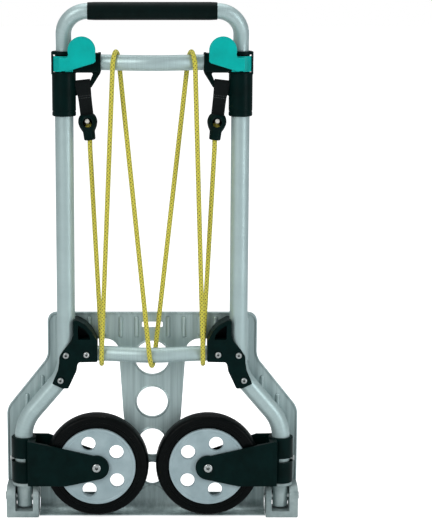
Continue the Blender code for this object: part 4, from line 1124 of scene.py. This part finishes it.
axle = (0.0805, 0.08)      # x and z
arm = {
    "sleeve": ((0, 0.1195), (0.0166, 0.1195), (0.0174, 0.1191), (0.018, 0.1183), (0.018, 0.0532),
               (0.0175, 0.0524), (0.0168, 0.052), (0, 0.052)),
    # y from, y to, radius of the round end, degrees that it spans, the rest of the outline
    "rearCheek": (-0.0316, -0.0257, 0.018, (103, -85), ((0.124, 0.0522), (0.1775, 0.0522), (0.1775, 0.119))),
    "frontCheek": (0.0115, 0.017, 0.0125, (70, -85),
                   ((0.124, 0.0522), (0.176, 0.0522), (0.176, 0.1192), (0.152, 0.1188))),
    "yoke": ((0.15, 0.0524), (0.18, 0.0524), (0.18, 0.1188), (0.15, 0.113)),
    "yokeDepth": (-0.0314, 0.0168),
    "cheekBevel": 0.0013,
    "well": 0.0775,
    "bore": 0.0133,
    "slot": (0.0863, 0.0031, 0.0125, 0.022, -11, 101),     # z, half height, radii, degrees
    "pocket": ((0.144, -0.025, 0.099), (0.1695, 0.0108, 0.13)),
    "axleHole": 0.0043,
}
axleScrew = {
    "profile": ((0, 0.0188), (0.0036, 0.0188), (0.004, 0.0184), (0.004, -0.0319), (0.0058, -0.0319),
                (0.006, -0.0322), (0.0059, -0.0331), (0.0052, -0.0337), (0.004, -0.0339), (0, -0.0339)),
    "socket": (0.0029, -0.04, -0.028),
    "nut": ((0.0062, 0.0193), (0.007, 0.0188), (0.007, 0.0173), (0.0043, 0.0173), (0.0043, 0.0193)),
    "nutBore": 0.0043,
}


def roundEnd(r, first, last):
    return [(axle[0] - r * math.cos(a), axle[1] + r * math.sin(a)) for a in sweep(first, last, 24)]


def makeArm(s):
    x = postEnd["x"]
    piece = turned("arm", s["sleeve"], "Z", (x, 0, 0), 72)
    parts = [slab("yoke", s["yoke"], "XZ", *s["yokeDepth"], 0.001, 2)]
    for cheek in ("rearCheek", "frontCheek"):
        low, high, radius, ends, rest = s[cheek]
        parts.append(slab(cheek, roundEnd(radius, *ends) + list(rest), "XZ", low, high, s["cheekBevel"], 3))
    combine(piece, parts)
    z, half, inner, outer, first, last = s["slot"]
    outline = arc(x, inner, outer, sweep(first, last, 32))
    hub, height = axle
    wellSides = (s["rearCheek"][1], s["frontCheek"][0])
    cutAway(piece, [
        rod("bore", (x, 0, 0.03), (x, 0, 0.14), s["bore"], 64),
        rod("well", (hub, wellSides[0], height), (hub, wellSides[1], height), s["well"], 128),
        block("pocket", *s["pocket"], bevel=0.0012),
        slab("slot", outline, "XY", z - half, z + half, 0.0006, 2),
        rod("hole", (hub, -0.04, height), (hub, 0.03, height), s["axleHole"], 40)])
    settlePair(piece, "WheelArm", "arm", "plastic", ["wheel_arm"], 34)


def makeAxle(s):
    x, z = axle
    screw = turned("axleScrew", s["profile"], "Y", (x, 0, z), 48)
    cutSocket(screw, (x, 0, z), *s["socket"])
    settlePair(screw, "AxleScrew", "arm", "zinc", ["axle_screw"], 34)
    nut = turned("axleNut", s["nut"], "Y", (x, 0, z), 6, ring=True)
    cutAway(nut, rod("hole", (x, 0, z), (x, 0.03, z), s["nutBore"], 32))
    settlePair(nut, "AxleNut", "arm", "zinc", ["axle_nut"], 34)


makeArm(arm)
makeAxle(axleScrew)
print("wheel arms are in place")


# wheels

wheel = {
    "tread": 0.0755,
    "rim": 0.0566,
    "sides": (-0.022, 0.008),
    "shoulder": 0.0058,        # how far the tread curves in towards the sides
    "grooves": ((-0.0125, 0.0006), (-0.007, 0.0006), (-0.0015, 0.0006)),
    "grooveHalf": 0.0005,
    "bead": 0.0015,            # chamfer where the tyre meets the hub
    "crown": (0.72, 2.6, 0.45),                # how square the tread is
    "wallLine": (0.063, 0.0648, 0.0005),
    "face": -0.025,
    # hub, inwards from its rim and from its face: the outer edge with a shallow ring, then the inside
    "hubEdge": ((0, 0.031), (0, 0.001), (0.0003, 0.0003), (0.001, 0), (0.0034, 0), (0.004, 0.0003),
                (0.0044, 0.0006), (0.0056, 0.0006), (0.0062, 0.0004), (0.0068, 0.0002)),
    "hubBoss": ((0.0172, 0.0002), (0.0166, 0.001), (0.0158, 0.001), (0.0152, 0), (0.0063, 0),
                (0.0063, 0.0355), (0.012, 0.0355), (0.013, 0.0065)),      # radius, and depth from the face
    "hubInside": ((0.005, 0.0065), (0.004, 0.031)),
    "holes": 5,
    "holeRadius": 0.01025,
    "holeCircle": 0.036,
    "holeStart": 181,
}


def tyreProfile(s):
    rear, front = s["sides"]
    middle, half = (rear + front) / 2, (front - rear) / 2
    inner, outer, depth = s["wallLine"]
    flat, rim = 0.0004, s["rim"]
    wall = [(rim + 0.002, 0.0), (rim + 0.0035, flat), (inner, flat), (inner + 0.0003, flat + depth),
            (outer - 0.0003, flat + depth), (outer, 0.0003), (outer + 0.0008, 0.0)]
    over = []
    spread, square, drop = s["crown"]
    for i in range(1, 28):
        across = -math.cos(math.pi * i / 28)
        across = math.copysign(abs(across) ** spread, across)
        r = s["tread"] - s["shoulder"] * (1 - max(0.0, 1 - abs(across) ** square) ** drop)
        over.append((r, middle + half * across))
    groove = s["grooveHalf"]
    for y, depth in s["grooves"]:
        near = max(over, key=lambda p: -abs(p[1] - y))[0]
        over += [(near, y - groove), (near - depth, y - groove * 0.5), (near - depth, y + groove * 0.5),
                 (near, y + groove)]
    over.sort(key=lambda p: p[1])
    rearWall = [(rim, rear + s["bead"])] + [(r, rear + y) for r, y in wall]
    frontWall = [(r, front - y) for r, y in reversed(wall)] + [(rim, front - s["bead"])]
    return rearWall + over + frontWall


def makeWheel(s):
    x, z = axle
    tyre = turned("tyre", tyreProfile(s), "Y", (x, 0, z), 128, ring=True)
    settlePair(tyre, "Tyre", "wheel", "tyre", ["tyre"], 30)
    rim, face = s["rim"] - fitGap, s["face"]
    profile = [(rim - inward, face + depth) for inward, depth in s["hubEdge"]]
    profile += [(r, face + depth) for r, depth in s["hubBoss"]]
    profile += [(rim - inward, face + depth) for inward, depth in s["hubInside"]]
    hub = turned("hub", profile, "Y", (x, 0, z), 128, ring=True)
    cutters = []
    r = s["holeRadius"]
    flare = [(0, -0.03), (r + 0.0009, -0.03), (r + 0.0009, face - 0.0002), (r + 0.0007, face + 0.0006),
             (r + 0.0002, face + 0.0011), (r, face + 0.0018), (r, 0.0), (0, 0.0)]
    for i in range(s["holes"]):
        a = math.radians(s["holeStart"] + 360 * i / s["holes"])
        place = (x - s["holeCircle"] * math.cos(a), 0, z + s["holeCircle"] * math.sin(a))
        cutters.append(turned("flare", flare, "Y", place, 48))
    cutAway(hub, cutters)
    settlePair(hub, "WheelHub", "wheel", "hub", ["wheel_hub"], 30)


makeWheel(wheel)
for label in ("left", "right"):
    finishNode(label + "_wheel_bush", "blackPlastic")
print("wheels are in place")


# toe plate with its feet and hinge pins

plate = {
    "faces": (0.0218, 0.0243),                # y of the rear and the load face
    "rim": (0.0195, 0.0266, 0.0024),          # y from, y to, wall
    "half": 0.2125,
    "topHalf": 0.152,
    "top": 0.299,
    "footZ": 0.047,
    "corners": (0.1653, 0.024, 0.156, 0.232),      # x and z of the foot of the plate, then z of its bends
    "bends": (0, 0, 0, 0.025, 0.03, 0.013),
    "cutout": ((0.0205, 0.026), (0.139, 0.026), (0.153, 0.048), (0.18, 0.08), (0.183, 0.142),
               (0.12, 0.218), (0.117, 0.2595), (0.0485, 0.2595), (0.0476, 0.226), (0.042, 0.143)),
    "cutoutRound": (0.004, 0.008, 0.01, 0.015, 0.02, 0.02, 0.014, 0.02, 0, 0),
    "holes": ((0.2315, 0.025), (0.1653, 0.0225), (0.1045, 0.02), (0.0571, 0.0165)),
    "slot": ((-0.015, 0.2764), (0.015, 0.2764), (0.015, 0.2846), (-0.015, 0.2846)),
    "beadPitch": 0.0229,
    "beadRadius": 0.0034,
    "beadY": 0.0224,
    "beads": ((0.261, 0.2935),) * 2 + ((0.264, 0.2935),) * 3 + ((0.225, 0.2915), (0.16, 0.205), (0.145, 0.178)),
    "heel": (0.0185, 0.00115, 0.1652, -0.006),     # bend radius, half the sheet, half the width, rear edge
    "heelTop": 0.027,
    "facets": (((0.002, 0.028), (0.002, 0.0385), (0.011, 0.035), (0.0185, 0.028)), 0.0209),
}
foot = {
    "x": (0.1656, 0.2125),
    "outline": ((0.0266, 0.0465), (0.0266, 0.025), (0.018, 0.014), (0.018, 0.002), (0.016, 0.0),
                (-0.015, 0.0), (-0.017, 0.002)),
    "pivot": 0.0295,
    "crown": 0.017,
    "cavity": ((0.174, -0.03, 0.01), (0.2, 0.0193, 0.06)),
    "pinHole": 0.0042,
    "pockets": (((0.164, -0.012, 0.005), (0.1672, 0.013, 0.02)),
                ((0.211, -0.012, 0.005), (0.214, 0.013, 0.02))),
}
hingePin = {
    "profile": ((0, 0.2147), (0.0046, 0.2147), (0.0056, 0.2143), (0.006, 0.2136), (0.006, 0.2128),
                (0.0039, 0.2128), (0.0039, 0.1644), (0.0035, 0.164), (0, 0.164)),
    "socket": (0.0024, 0.2136, 0.23),
}


def plateOutline(s, inset, footZ):
    half, topHalf, bends = s["half"] - inset, s["topHalf"] - inset, s["bends"]
    footX, low, lowBend, topBend = s["corners"]
    right = [(footX, low), (footX, footZ), (half, footZ), (half, lowBend), (topHalf, topBend),
             (topHalf, s["top"] - inset)]
    return roundCorners(bothSides(right), bends + bends[::-1], 8)


def makePlate(s):
    rear, front = s["faces"]
    rimLow, rimHigh, wall = s["rim"]
    piece = slab("toePlate", plateOutline(s, wall / 2, s["footZ"]), "XZ", rear, front)
    cutout = roundCorners(s["cutout"], s["cutoutRound"], 8)
    slot = roundCorners(s["slot"], (0.0015,) * 4, 4)
    cutters = [slab("slot", slot, "XZ", 0, 0.05)]
    cutters += [slab("cutout", [(side * x, z) for x, z in cutout], "XZ", 0, 0.05) for side in (1, -1)]
    cutters += [rod("hole", (0, 0, z), (0, 0.05, z), r, 64) for z, r in s["holes"]]
    cutAway(piece, cutters)
    rim = slab("rim", plateOutline(s, 0.0, s["footZ"]), "XZ", rimLow, rimHigh)
    inside = slab("inside", plateOutline(s, wall, 0.01), "XZ", 0, 0.05)
    cutAway(rim, [inside, block("below", (-0.3, 0, 0), (0.3, 0.05, s["footZ"] + 0.0004))])
    roundEdges(rim, 0.0008, 3, 50)
    added = [rim]
    for i, (low, high) in enumerate(s["beads"], start=1):
        r = s["beadRadius"]
        domes = [(r * math.cos(a), high - r + r * math.sin(a)) for a in sweep(90, 0, 6)]
        domes += [(r * math.cos(a), low + r + r * math.sin(a)) for a in sweep(0, -90, 6)]
        domes[0], domes[-1] = (0, high), (0, low)
        for side in (1, -1):
            bead = turned("bead", domes, "Z", (side * i * s["beadPitch"], s["beadY"], 0), 32)
            added.append(cutAway(bead, block("half", (-0.3, front - 0.0009, 0), (0.3, 0.05, 0.4))))
    for z, r in s["holes"]:
        lip = [(r, front - 0.0006), (r, rear - 0.001), (r + 0.0005, rear - 0.0015), (r + 0.0012, rear - 0.0014),
               (r + 0.002, rear - 0.0008), (r + 0.0032, rear + 0.0002), (r + 0.0032, front - 0.0006)]
        added.append(turned("lip", lip, "Y", (0, 0, z), 64, ring=True))
    bend, half, width, edge = s["heel"]
    middle = (rear + front) / 2
    turns = sweep(0, 90, 16)
    outer, inner = [
        [(middle - bend + (bend + side) * math.cos(a), bend + half - (bend + side) * math.sin(a)) for a in turns]
        for side in (half, -half)]
    heel = [(middle + half, s["heelTop"]), *outer, (edge + 0.0005, 0.0), (edge, 0.0005),
            (edge, 2 * half - 0.0005), (edge + 0.0005, 2 * half), *reversed(inner), (middle - half, s["heelTop"])]
    added.append(slab("heel", heel, "YZ", -width, width))
    facet, depth = s["facets"]
    for side in (1, -1):
        added.append(slab("facet", [(side * x, z) for x, z in facet], "XZ", depth, middle, 0.0005, 2))
    combine(piece, added)
    settle(piece, "toePlate", "toe_plate", "plate", ["toe_plate"], 34)


def makeFoot(s):
    crown = [(s["crown"] * math.cos(a), s["pivot"] + s["crown"] * math.sin(a)) for a in sweep(180, 90, 12)]
    piece = slab("foot", list(s["outline"]) + crown, "YZ", *s["x"], 0.0016, 3)
    cavity = block("cavity", *s["cavity"], bevel=0.0012)
    low, high = s["x"]
    hole = rod("hole", (low - 0.01, 0, s["pivot"]), (high + 0.01, 0, s["pivot"]), s["pinHole"], 40)
    cutAway(piece, [cavity, hole] + [block("pocket", *p, bevel=0.001) for p in s["pockets"]])
    settlePair(piece, "ToeFoot", "toe_plate", "cast", ["toe_foot"], 34)
    pin = turned("hingePin", hingePin["profile"], "X", (0, 0, s["pivot"]), 40)
    cutSocket(pin, (0, 0, s["pivot"]), *hingePin["socket"], "X")
    settlePair(pin, "HingePin", "toe_plate", "zinc", ["hinge_pin"], 34)


makePlate(plate)
makeFoot(foot)

print("pieces are done")
